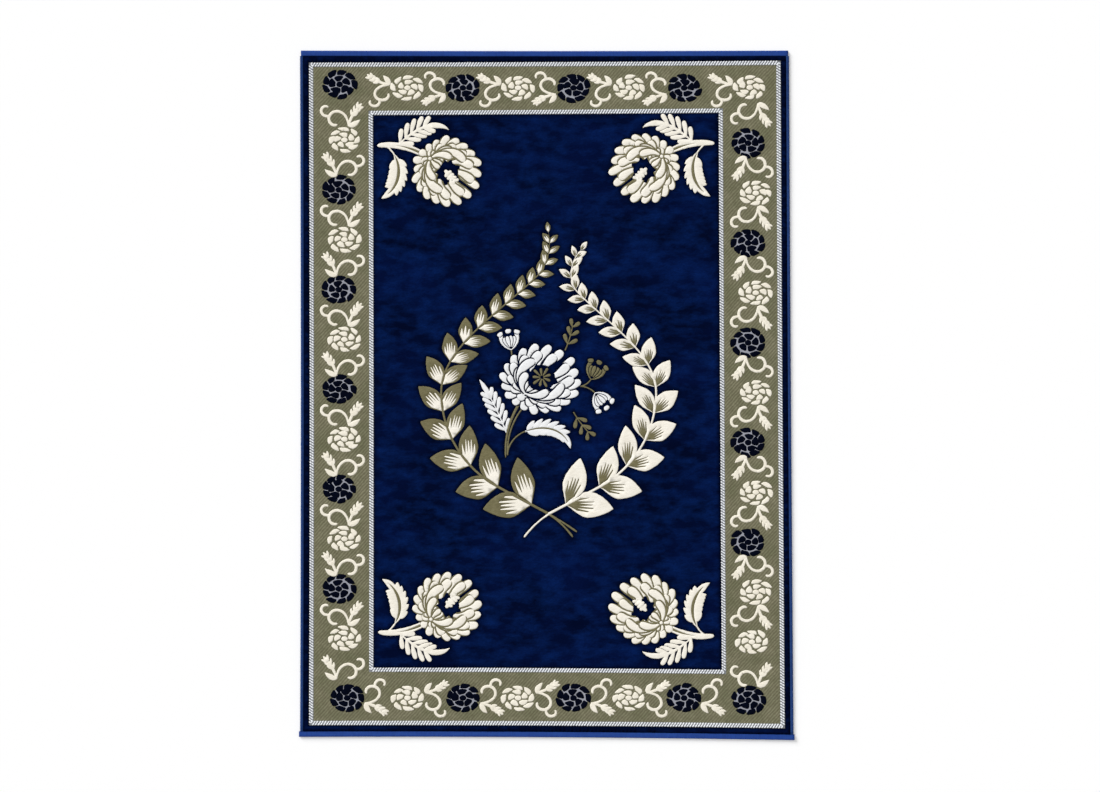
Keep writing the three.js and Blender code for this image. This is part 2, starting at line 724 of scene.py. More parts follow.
@dataclass
class Border:
    """The flowering border, laid out by its pitch in floor millimetres from the rug's middle."""

    side_top: float = 794.0
    side_pitch: float = 155.1
    side_count: int = 11
    end_left: float = -433.0
    end_pitch: float = 172.0
    end_count: int = 6
    left: complex = -635 + 0j
    right: complex = 638 + 0j
    top: complex = 951j
    bottom: complex = -941j
    top_row: complex = 956j
    ink_shift: float = 12.0
    right_drop: float = 10.0

    TOP_LEFT = -644 + 967j
    TOP_RIGHT = 631 + 957j
    TOP_RIGHT_FOOT = 634 + 950j
    BOTTOM_LEFT = -621 - 941j
    BOTTOM_LEFT_FOOT = -621 - 925j
    BOTTOM_RIGHT = 627 - 948j

    def paint(self, chart: Chart) -> None:
        """Paints the four sides. The corner blossoms belong to the left and right ones.

        Args:
            chart: The chart.
        """
        rows = [self.side_top - self.side_pitch * k for k in range(self.side_count)]
        columns = [self.end_left + self.end_pitch * k for k in range(self.end_count)]
        upright = self.left_side(rows)
        BorderSide("border_left", 1j, 1.0, tuple(upright), self.left).paint(chart)
        downward = self.right_side(rows)
        BorderSide("border_right", -1j, -0.97, tuple(downward), self.right).paint(chart)
        upward = Sprout(self.BOTTOM_RIGHT, True, Growth.MIRRORED)
        BorderSide("border_right", 1j, 0.97, (upward,), self.right).paint(chart)
        first = Sprout(self.BOTTOM_LEFT, True, Growth.MIRRORED)
        sprouts = (first, *self.end_row(columns, self.bottom))
        BorderSide("border_bottom", 1 + 0j, 0.86, sprouts, self.bottom).paint(chart)
        last = Sprout(self.TOP_RIGHT, False, self.hand(self.end_count))
        sprouts = (*self.end_row(columns, self.top_row), last)
        BorderSide("border_top", -1 + 0j, -0.78, sprouts, self.top).paint(chart)

    def end_row(self, columns: list[float], row: complex) -> list[Sprout]:
        """The blossoms of the bottom or top side between its corners, cream and ink in turn."""
        return [Sprout(x + row, k % 2 == 1, self.hand(k)) for k, x in enumerate(columns)]

    def hand(self, index: int) -> Growth:
        """Scrolls turn alternately one way and the other."""
        return Growth.PLAIN if index % 2 == 0 else Growth.MIRRORED

    def left_side(self, rows: list[float]) -> list[Sprout]:
        """The left side, from its top corner down, with cream and ink in turn.

        Args:
            rows: Where the rows stand along the side.

        Returns:
            The sprouts of the side.
        """
        inward = self.left.real + self.ink_shift / 2
        outward = self.left.real - self.ink_shift
        made = [Sprout(self.TOP_LEFT, True, Growth.NONE)]
        for k, y in enumerate(rows):
            x = outward if k % 2 else inward
            made.append(Sprout(complex(x, y), k % 2 == 1, self.hand(k + 1)))
        return [*made, Sprout(self.BOTTOM_LEFT_FOOT, True, Growth.PLAIN, shared=True)]

    def right_side(self, rows: list[float]) -> list[Sprout]:
        """The right side, from its top corner down: its scrolls grow down too.

        Args:
            rows: Where the rows stand along the side.

        Returns:
            The sprouts of the side.
        """
        made = [Sprout(self.TOP_RIGHT_FOOT, False, Growth.MIRRORED, shared=True)]
        for k, y in enumerate(rows[:-1]):
            inked = k % 2 == 0
            x = self.right.real + (-self.ink_shift if inked else self.ink_shift)
            made.append(Sprout(complex(x, y - self.right_drop), inked, self.hand(k)))
        lowest = complex(self.right.real, rows[-1] - self.right_drop)
        return [*made, Sprout(lowest, False, Growth.NONE)]


# ---------------- the wreath


@dataclass(frozen=True)
class Leaf:
    """A laurel leaf from its base to its tip, with its middle rib bulging to the left."""

    base: complex
    tip: complex
    width: float
    bulge: float

    def edge(self, gap: float = 0.0) -> np.ndarray:
        """The leaf's outline, grown by a gap."""
        return stroke(bowed(self.base, self.tip, self.bulge), grown(laurel_shaped(self.width), gap))

    def spot(self, share: float, aside: float) -> complex:
        """A point of the leaf: share along its rib, and aside from -1 at its right edge to 1.

        Args:
            share: The share of its rib.
            aside: How far to the side, from -1 to 1.

        Returns:
            The point.
        """
        path = bowed(self.base, self.tip, self.bulge)
        half = laurel_shaped(self.width)(np.asarray(share)) / 2
        return complex(path.at(share) + 1j * path.heading(share) * half * aside)

    def fan(self, shoulder: float, spread: float, reach: float, depth: float, rays: int) -> np.ndarray:
        """A fan of rays that opens from the leaf's base.

        Args:
            shoulder: The share of the rib at which the fan is widest.
            spread: How far to each side it opens, from 0 to 1 at the leaf's edge.
            reach: The share of the rib that the middle ray reaches.
            depth: The share at which the clefts between rays end.
            rays: The number of rays.

        Returns:
            The fan's outline, anticlockwise.
        """
        right = [(0.02, 0.0), (shoulder * 0.35, -spread * 0.8), (shoulder * 0.7, -spread * 0.96)]
        points = [self.spot(share, aside) for share, aside in right]
        for ray in range(rays):
            aside = spread * (2 * (ray + 0.5) / rays - 1)
            longer = reach * (1 - 0.22 * abs(aside / spread) ** 2 + 0.07 * (ray % 2))
            slim = spread * 0.22 / rays
            points.append(self.spot(longer - 0.03, aside * 0.92 - slim))
            points.append(self.spot(longer, aside * 0.92 + slim))
            if ray < rays - 1:
                cleft = spread * (2 * (ray + 1) / rays - 1)
                points.append(self.spot(depth - 0.1 * abs(cleft / spread), cleft * 0.95))
        left = [(share, -aside) for share, aside in reversed(right[1:])]
        points += [self.spot(share, aside) for share, aside in left]
        return np.array(points)


@dataclass(frozen=True)
class LaurelBranch:
    """One branch of the wreath, on one side of its axis.

    The stem runs straight out of the crossing, follows a circle to its widest place, draws in
    over a cosine shoulder towards the neck, and bends into its tip. Each pair of leaves stands a
    fixed share of a leaf's length above the last, and the leaves shorten evenly from foot to tip.
    """

    zone: str
    side: float
    body: Yarn
    blaze: Yarn
    neck: complex
    tip_rise: float
    tip_turn: float
    axis: complex = 6 + 10j
    reach: float = 334.0
    leaves_circle: float = -62.0
    shoulder: float = 1.25
    first_leaf: float = 156.0
    last_leaf: float = 34.0
    spacing: float = 0.79
    bare: float = 58.0
    leans: tuple[float, float] = (34.0, 43.0)
    slimness: tuple[float, float] = (0.54, 0.48)
    unevenness: float = 0.05

    def stem(self) -> Path:
        """The stem from the point where it crosses the other branch.

        Returns:
            The stem.
        """
        turn = np.radians(np.linspace(self.leaves_circle, 0, 8))
        circle = self.reach * np.exp(1j * turn)
        cross = circle[0].real / math.sin(-turn[0])
        straight = circle[0] - cross * 1j * np.exp(1j * turn[0])
        drawn = np.linspace(0, 0.9, 9)[1:]
        across = np.cos(drawn * math.pi / 2) ** self.shoulder
        inner = (self.neck.real - self.axis.real) * self.side
        shoulder = inner + (self.reach - inner) * across + 1j * (self.neck.imag - self.axis.imag) * drawn
        own = np.concatenate([[straight], circle, shoulder])
        placed = self.axis + self.side * own.real + 1j * own.imag
        heading = math.degrees(np.angle(placed[-1] - placed[-2]))
        rise = curl(complex(placed[-1]), heading, self.tip_rise, self.tip_turn, 0.8)[2::2]
        return Path(np.concatenate([placed, rise]))

    def paint(self, chart: Chart) -> None:
        """Paints the leaves, the lowest last, and the stem over them.

        Args:
            chart: The chart.
        """
        path = self.stem()
        end, ahead = complex(path.at(1)), complex(path.heading(1))
        self.paint_leaf(chart, Leaf(end, end + ahead * self.last_leaf, self.last_leaf * 0.5, 0.0))
        for at, length in reversed(self.steps(path.length)):
            share = at / path.length
            for hand, lean, slimness in zip((1, -1), self.leans, self.slimness):
                vary = 1 + self.unevenness * chart.random.uniform(-1, 1, 2)
                side = -self.side * hand
                turned = np.exp(1j * math.radians(lean * vary[0]) * side)
                ahead = complex(path.heading(share)) * turned
                base = complex(path.at(share)) + ahead * 2
                tip = base + ahead * length * vary[1]
                self.paint_leaf(chart, Leaf(base, tip, length * slimness, -side * length * 0.045))
        chart.paint(self.zone, self.body, stroke(path, tapered(8, 3.5)), waver=0.2)

    def steps(self, along: float) -> list[tuple[float, float]]:
        """Where each pair of leaves stands on the stem, and how long its leaves are.

        Args:
            along: The stem's length, in millimetres.

        Returns:
            Each pair's place along the stem and its length.
        """
        at, made = self.bare, []
        while at < along - self.last_leaf * 0.5:
            length = self.first_leaf + (self.last_leaf - self.first_leaf) * at / along
            made.append((at, length))
            at += length * self.spacing
        return made

    def paint_leaf(self, chart: Chart, leaf: Leaf) -> None:
        """Paints one leaf, a thin gap round it and its fan: fewer rays on a smaller leaf.

        Args:
            chart: The chart.
            leaf: The leaf.
        """
        length = abs(leaf.tip - leaf.base)
        if length > 70:
            chart.paint("field", Yarn.NAVY, leaf.edge(1.6), waver=0.2)
        chart.paint(self.zone, self.body, leaf.edge())
        rays = 5 if length > 82 else 3 if length > 55 else 2
        if self.body is Yarn.OLIVE:
            small = length < 75
            fan = leaf.fan(0.42, 0.7 if small else 0.88, 0.7 if small else 0.64, 0.34, rays)
        else:
            fan = leaf.fan(0.32, 0.74, 0.58, 0.3, rays)
        chart.paint(self.zone, self.blaze, fan, waver=0.25)


@dataclass
class Wreath:
    """Two laurel branches that cross at the bottom and lean together at the top."""

    left: LaurelBranch = LaurelBranch(
        "wreath_left", -1.0, Yarn.OLIVE, Yarn.CREAM, neck=0 + 408j, tip_rise=148, tip_turn=58
    )
    right: LaurelBranch = LaurelBranch(
        "wreath_right", 1.0, Yarn.CREAM, Yarn.OLIVE, neck=72 + 352j, tip_rise=146, tip_turn=-88
    )
    tail: float = 128.0
    tail_turn: float = 26.0

    def paint(self, chart: Chart) -> None:
        """Paints both branches and the tails of their stems, the cream one on top.

        Args:
            chart: The chart.
        """
        for branch, turns in ((self.left, (1.0, 0.3)), (self.right, (1.0,))):
            branch.paint(chart)
            path = branch.stem()
            back = math.degrees(np.angle(-path.heading(0)))
            for turn in turns:
                points = curl(complex(path.at(0.02)), back, self.tail, branch.side * self.tail_turn * turn)
                outline = stroke(Path(points), swelling(7, 5, 7))
                chart.paint(branch.zone, branch.body, outline, waver=0.2)


# ---------------- flowers


class Whorl(NamedTuple):
    """One whorl of petals: how many, and how far from the head's middle they spring and end.

    Swept is the share of its tip's sweep round the head at which a petal springs: 0 at the
    button, 1 straight behind the tip. Closing makes the petals across from the button stand
    straighter, and 0 lets them all sweep alike. Within is the widest sweep, in degrees.
    """

    count: int
    springs: float
    reach: float
    width: float
    swept: float
    closing: float = 1.0
    within: float = 180.0

    def trails(self, sweep: float) -> float:
        """How far a petal trails its tip: 1 beside the button, less across from it."""
        return abs(math.cos(sweep / 2)) ** self.closing


@dataclass(frozen=True)
class FlowerHead:
    """A chrysanthemum whose petals all spring from a button beside its eye and sweep round it.

    A petal's middle line is part of a spiral about the head's middle, from the button's side to
    its tip. The gaps between petals are their own outlines, grown a little, in another yarn.
    """

    zone: str
    yarn: Yarn
    gap_zone: str
    gap_yarn: Yarn
    gap: float
    button: complex
    whorls: tuple[Whorl, ...]
    inner: tuple[Whorl, ...]
    eye: float
    flatness: float = 1.0
    hook: float = 0.9
    near: float = 0.08
    unevenness: float = 0.05

    def paint(self, chart: Chart, place: Placement) -> None:
        """Paints the outer whorls, the eye, and the petals that lie over it.

        Args:
            chart: The chart.
            place: Where the head lies.
        """
        for number, whorl in enumerate(self.whorls):
            self.paint_whorl(chart, place, whorl, number == 0 and self.gap_yarn is not Yarn.NAVY)
        chart.paint("field", Yarn.NAVY, place.put(disc(-0.12 * self.button, self.eye)))
        for whorl in self.inner:
            self.paint_whorl(chart, place, whorl, False)

    def paint_whorl(self, chart: Chart, place: Placement, whorl: Whorl, fades: bool) -> None:
        """Paints one whorl, the petals that sweep furthest last.

        Args:
            chart: The chart.
            place: Where the head lies.
            whorl: The whorl.
            fades: Whether the gap round a petal fades out at its tip.
        """
        sweeps = np.radians(whorl.within) * (2 * (np.arange(whorl.count) + 0.5) / whorl.count - 1)
        for sweep in sorted(sweeps, key=abs):
            vary = 1 + self.unevenness * chart.random.uniform(-1, 1, 2)
            path = place.path(self.line(whorl, float(sweep), vary[0]))
            profile = petal_shaped(whorl.width * vary[1], 0.56 - 0.34 * whorl.trails(sweep), 0.78)
            under = stroke(path, grown(profile, self.gap, 1.0 if fades else 0.0), 5)
            chart.paint(self.gap_zone, self.gap_yarn, under, waver=0.2)
            chart.paint(self.zone, self.yarn, stroke(path, profile), waver=0.35)

    def line(self, whorl: Whorl, sweep: float, vary: float) -> np.ndarray:
        """A petal's middle line.

        Args:
            whorl: Its whorl.
            sweep: How far its tip lies round from the button, in radians.
            vary: A factor for how far out its tip lies.

        Returns:
            The line's points about the head's middle.
        """
        toward = float(np.angle(self.button))
        share = np.linspace(0, 1, 7)
        reach = whorl.reach * vary * (1 - self.near * whorl.trails(sweep))
        radius = whorl.springs + (reach - whorl.springs) * share
        swept = 1 - (1 - whorl.swept) * whorl.trails(sweep) * (1 - share**self.hook)
        points = radius * np.exp(1j * (toward + sweep * swept))
        return points.real + 1j * self.flatness * points.imag


@dataclass(frozen=True)
class FeatherLeaf:
    """A leaf with leaflets on both sides of a bowed rib: a fern, or a toothed leaf with a body.

    Its leaflets stand between first and tip, shares of the rib's length, and lean away from it,
    by spread times as much on the side that the rib turns to. A fern has a gap round each one.
    """

    length: float
    turn: float
    pairs: int
    leaflet: float
    width: float
    lean: float
    body: float
    tip: float
    first: float = 0.0
    vein: float = 0.0
    gap: float = 0.9
    late: float = 1.0
    spread: float = 1.0

    def paint(
        self, chart: Chart, zone: str, yarn: Yarn, place: Placement, base: complex, heading: float
    ) -> None:
        """Paints the leaf.

        Args:
            chart: The chart.
            zone: The part of the rug it belongs to.
            yarn: Its yarn.
            place: Where its motif lies.
            base: Where its rib starts in the motif.
            heading: The way its rib sets out, in degrees.
        """
        rib = curl(base, heading, self.length, self.turn, self.late)
        own = Path(rib)
        for step in (np.arange(self.pairs) + 0.4) / self.pairs:
            share = self.first + (self.tip - self.first) * step
            length = self.leaflet * math.sin(math.pi * (0.3 + 0.45 * step))
            for side in (1, -1):
                ahead = math.degrees(np.angle(own.heading(share)))
                wide = self.spread if side * self.turn > 0 else 1.0
                leaning = ahead + side * self.lean * wide * (1 - 0.25 * share)
                path = place.path(curl(complex(own.at(share)), leaning, length, -side * 14))
                if self.gap:
                    profile = petal_shaped(self.width, 0.5, 0.62)
                    chart.paint("field", Yarn.NAVY, stroke(path, grown(profile, self.gap)), waver=0.2)
                else:
                    profile = leaf_shaped(self.width, 0.7, 0.6)
                chart.paint(zone, yarn, stroke(path, profile), waver=0.3)
        whole = place.path(rib)
        body = Path(whole.at(np.linspace(self.first * 0.7, 1, 13)))
        lobe = Path(whole.at(np.linspace(self.tip - 0.08, 1, 9)))
        for path, width in (
            (whole, tapered(5, 2)),
            (body, leaf_shaped(self.body, 0.95, 0.75)),
            (lobe, leaf_shaped(self.width * 1.15, 0.9, 0.8)),
        ):
            chart.paint(zone, yarn, stroke(path, width))
        if self.vein:
            vein = Path(whole.at(np.linspace(self.first * 0.8, 0.88, 9)))
            chart.paint(zone, Yarn.OLIVE, stroke(vein, swelling(2.0, self.vein, 1.0)), waver=0.2)


@dataclass(frozen=True)
class CornerSpray:
    """A chrysanthemum on a short stem, with a fern above it and a toothed leaf below."""

    name: str
    middle: complex
    flip_x: float
    flip_y: float
    stem_foot: complex = -214 + 78j
    stem_heading: float = 8.0
    stem_turn: float = -44.0
    stem_width: float = 20.0

    BUTTON = -50 + 38j
    FERN_FROM_FORK = 22 + 2j
    FERN_HEADING = 40
    TOOTHED_FROM_FORK = -16 - 2j
    TOOTHED_HEADING = -36
    WHORLS = (
        Whorl(19, 44, 112, 24, 0.4),
        Whorl(12, 32, 89, 25, 0.15),
        Whorl(6, 60, 68, 24, 0.2, 0, 140),
    )
    INNER = (Whorl(4, 62, 46, 21, 0.0, 0, 100), Whorl(2, 60, 24, 15, 0.0, 0, 26))
    FERN = FeatherLeaf(178, -78, 5, 50, 15, 52, 9, 0.6, late=2.2)
    TOOTHED = FeatherLeaf(198, -118, 6, 41, 19, 50, 30, 0.74, first=0.26, vein=9, gap=0, spread=1.45)

    def paint(self, chart: Chart) -> None:
        """Paints the spray about the middle of its flower head.

        Args:
            chart: The chart.
        """
        zone = f"corner_{self.name}"
        place = Placement(self.middle, 1 + 0j, self.flip_x, self.flip_y)
        length = abs(self.BUTTON - self.stem_foot) * 1.03
        stem = curl(self.stem_foot, self.stem_heading, length, self.stem_turn)
        fork = complex(stem[3])
        base = fork + self.FERN_FROM_FORK
        self.FERN.paint(chart, zone, Yarn.CREAM, place, base, self.FERN_HEADING)
        base = fork + self.TOOTHED_FROM_FORK
        self.TOOTHED.paint(chart, zone, Yarn.CREAM, place, base, self.TOOTHED_HEADING)
        outline = stroke(place.path(stem), swelling(13, self.stem_width, 12))
        chart.paint(zone, Yarn.CREAM, outline)
        vein = place.path(stem[4:])
        chart.paint(zone, Yarn.OLIVE, stroke(vein, leaf_shaped(7, 1.6)), waver=0.2)
        FlowerHead(
            zone,
            Yarn.CREAM,
            gap_zone=zone,
            gap_yarn=Yarn.OLIVE,
            gap=4.8,
            button=self.BUTTON,
            whorls=self.WHORLS,
            inner=self.INNER,
            eye=32,
        ).paint(chart, place)
        self.paint_eye(chart, zone, place)

    def paint_eye(self, chart: Chart, zone: str, place: Placement) -> None:
        """Paints the small lobed leaf in the eye and the button where the petals spring.

        Args:
            chart: The chart.
            zone: The part of the rug it belongs to.
            place: Where the head lies.
        """
        rib = curl(-4 + 2j, -48, 44, 0)
        rows = [(swelling(9, 15, 11), rib)]
        for spot in rib[3::3]:
            rows += [(round_ended(10, 3), curl(complex(spot), -48 + lean, 15, 0)) for lean in (62, -62)]
        for width, points in rows:
            chart.paint(zone, Yarn.CREAM, stroke(place.path(points), width, 3))
        for radius, yarn in ((8.5, Yarn.OLIVE), (5.5, Yarn.CREAM)):
            chart.paint(zone, yarn, place.put(disc(self.BUTTON, radius, 12)), waver=0.2)


@dataclass(frozen=True)
class Bouquet:
    """The spray inside the wreath: a large silver head, buds, sprigs, a fern and a leaf."""

    zone: str = "bouquet"
    head: complex = -21 + 48j
    stalk_foot: complex = -98 - 240j
    fork_rise: complex = 76j
    bud_reach: float = 68.0
    bud_petal: float = 12.0
    sprig_length: float = 82.0

    BUTTON = -48 - 50j
    WHORLS = (
        Whorl(19, 54, 131, 26, 0.4),
        Whorl(13, 40, 106, 27, 0.15),
        Whorl(7, 66, 79, 27, 0.2, 0, 144),
    )
    INNER = (Whorl(5, 68, 46, 24, 0.0, 0, 96),)
    FERN = FeatherLeaf(186, 12, 6, 45, 13, 46, 4, 0.7, late=1.4)
    BROAD = FeatherLeaf(172, -98, 6, 44, 17, 46, 16, 0.7, vein=5, gap=0, late=1.5)

    def paint(self, chart: Chart) -> None:
        """Paints the bouquet from the back to the front.

        Args:
            chart: The chart.
        """
        place = Placement(self.head)
        fork = self.stalk_foot + self.fork_rise
        self.FERN.paint(chart, self.zone, Yarn.SILVER, place, fork - 6, 112)
        leaf_base = fork + 52 + 4j
        self.BROAD.paint(chart, self.zone, Yarn.SILVER, place, leaf_base, 18)
        stems = [
            (9, curl(self.BUTTON, 232, 205, 42)),
            (5, curl(self.BUTTON - 8 - 40j, 232, 155, 42)),
            (4, curl(leaf_base, 200, 98, 66)),
        ]
        for width, points in stems:
            outline = stroke(place.path(points), tapered(width, 5, 40))
            chart.paint(self.zone, Yarn.OLIVE, outline, waver=0.2)
        self.paint_bud(chart, place, -88 + 72j, 100, Yarn.SILVER, 24, 12)
        self.paint_bud(chart, place, 124 - 20j, 64, Yarn.OLIVE, 46, 58)
        self.paint_bud(chart, place, 124 - 20j, -52, Yarn.SILVER, 58, -52)
        self.paint_sprig(chart, place, 78 + 92j, 66)
        self.paint_sprig(chart, place, 104 - 100j, -60)
        FlowerHead(
            self.zone,
            Yarn.SILVER,
            gap_zone="field",
            gap_yarn=Yarn.NAVY,
            gap=4.2,
            button=self.BUTTON,
            whorls=self.WHORLS,
            inner=self.INNER,
            eye=41,
            flatness=0.86,
        ).paint(chart, place)
        middle = complex(place.put(-0.12 * self.BUTTON + 2j))
        for index in range(9):
            points = curl(middle, 17 + 40 * index, 29 + 5 * (index % 2), 0)
            outline = stroke(Path(points[2:]), petal_shaped(8.5, 0.4), 3)
            chart.paint(self.zone, Yarn.OLIVE, outline, waver=0.3)

    def paint_bud(
        self,
        chart: Chart,
        place: Placement,
        foot: complex,
        heading: float,
        yarn: Yarn,
        stalk: float,
        bend: float,
    ) -> None:
        """Paints a half-open bud: a stalk, a cup of curved petals and a crown of short ones.

        Args:
            chart: The chart.
            place: Where the bouquet lies.
            foot: Where the stalk leaves the head.
            heading: The way the bud faces, in degrees.
            yarn: The petals' yarn.
            stalk: The stalk's length.
            bend: How far the stalk turns, in degrees.
        """
        line = curl(foot, heading - bend, stalk, bend)
        chart.paint(self.zone, Yarn.OLIVE, stroke(place.path(line), tapered(4, 4, 30)), waver=0.2)
        base, reach = complex(line[-2]), self.bud_reach
        rows = []
        for side in (1, -1):
            outer = curl(base, heading + side * 66, reach, -side * 92)
            rows.append((petal_shaped(self.bud_petal, 0.25, 0.72), outer))
        for lean in (-31, 31, -11, 11):
            start = base + 0.14 * reach * np.exp(1j * math.radians(heading + lean))
            cup = curl(complex(start), heading + lean, 0.5 * reach, -0.8 * lean)
            rows.append((petal_shaped(self.bud_petal, 0.35, 0.6), cup))
        for lean in (-27, 0, 27):
            spot = base + 0.88 * reach * np.exp(1j * math.radians(heading + lean))
            across = heading + lean - 90
            start = spot - 9 * np.exp(1j * math.radians(across + 20))
            rows.append((round_ended(13, 5), curl(complex(start), across + 20, 18, -40)))
        for width, points in rows:
            path = place.path(points)
            chart.paint("field", Yarn.NAVY, stroke(path, grown(width, 2.0)), waver=0.2)
            chart.paint(self.zone, yarn, stroke(path, width), waver=0.3)

    def paint_sprig(self, chart: Chart, place: Placement, foot: complex, heading: float) -> None:
        """Paints an olive sprig: a thin stalk with pairs of blunt leaves and one at its tip.

        Args:
            chart: The chart.
            place: Where the bouquet lies.
            foot: The stalk's foot.
            heading: The way it sets out, in degrees.
        """
        line = curl(foot, heading, self.sprig_length, 14)
        chart.paint(self.zone, Yarn.OLIVE, stroke(place.path(line), tapered(4, 3, 30)), waver=0.2)
        for number, at in enumerate((3, 7, 11)):
            for side in (1, -1):
                lean = side * (46 - 4 * number)
                points = curl(complex(line[at]), heading + lean, 34 - 3 * number, -side * 10)
                outline = stroke(place.path(points[1:]), petal_shaped(12.5, 0.35, 0.6))
                chart.paint(self.zone, Yarn.OLIVE, outline, waver=0.3)


# ---------------- cutting the chart into pads


class Spot(NamedTuple):
    """One yarn in one part of the rug."""

    zone: str
    yarn: Yarn


def encloses(outline: np.ndarray, spots: np.ndarray) -> np.ndarray:
    """Whether an outline winds round each of these points, even where it crosses itself.

    Args:
        outline: The corners of the outline.
        spots: The points.

    Returns:
        True for each point that it winds round.
    """
    order = np.argsort(spots.imag)
    x, y = spots.real[order], spots.imag[order]
    turns = np.zeros(len(spots), int)
    ahead = np.roll(outline, -1)
    lows = np.searchsorted(y, np.minimum(outline.imag, ahead.imag))
    highs = np.searchsorted(y, np.maximum(outline.imag, ahead.imag))
    for k in np.flatnonzero(highs > lows):
        a, b, low, high = outline[k], ahead[k], lows[k], highs[k]
        meets = a.real + (y[low:high] - a.imag) * (b.real - a.real) / (b.imag - a.imag)
        turns[low:high] += (x[low:high] < meets) * (1 if b.imag > a.imag else -1)
    found = np.zeros(len(spots), bool)
    found[order] = turns != 0
    return found


def left_of(triangles: np.ndarray, count: int) -> tuple[np.ndarray, ...]:
    """Finds the directed edges of some triangles and what lies on each side of them.

    Args:
        triangles: Three vertex numbers a row, anticlockwise.
        count: The number of vertices.

    Returns:
        The start and end of every edge, its triangle, and the triangle across it or -1.
    """
    start = triangles.ravel()
    end = np.roll(triangles, -1, axis=1).ravel()
    triangle = np.repeat(np.arange(len(triangles)), 3)
    key = start * count + end
    order = np.argsort(key)
    twin = end * count + start
    found = np.minimum(np.searchsorted(key[order], twin), len(key) - 1)
    match = key[order][found] == twin
    across = np.where(match, triangle[order][found], -1)
    return start, end, triangle, across


def keys(start: np.ndarray, end: np.ndarray, count: int) -> np.ndarray:
    """One number for each edge, the same both ways."""
    return np.minimum(start, end) * count + np.maximum(start, end)


def fences(edges: list[tuple[int, int]], sources: list[list[int]], count: int) -> np.ndarray:
    """The keys of the edges that lie on a given line."""
    lying = np.array([e for e, source in zip(edges, sources) if source])
    return keys(lying[:, 0], lying[:, 1], count)


def distances(tree: kdtree.KDTree, points: np.ndarray) -> np.ndarray:
    """How far each point lies from the nearest one in a search tree."""
    return np.array([tree.find((p.real, p.imag, 0))[2] for p in points])


def grouped(count: int, here: np.ndarray, there: np.ndarray) -> np.ndarray:
    """Numbers the groups of things that are joined by pairs.

    Args:
        count: How many things there are.
        here: The first of each pair.
        there: The second of each pair.

    Returns:
        The group of each thing.
    """
    parent = list(range(count))

    def head(one: int) -> int:
        """The thing a group is known by.

        Args:
            one: The thing.

        Returns:
            Its group's first thing.
        """
        while parent[one] != one:
            parent[one] = parent[parent[one]]
            one = parent[one]
        return one

    once = here < there
    for a, b in zip(here[once].tolist(), there[once].tolist()):
        parent[head(a)] = head(b)
    return np.array([head(one) for one in range(count)])


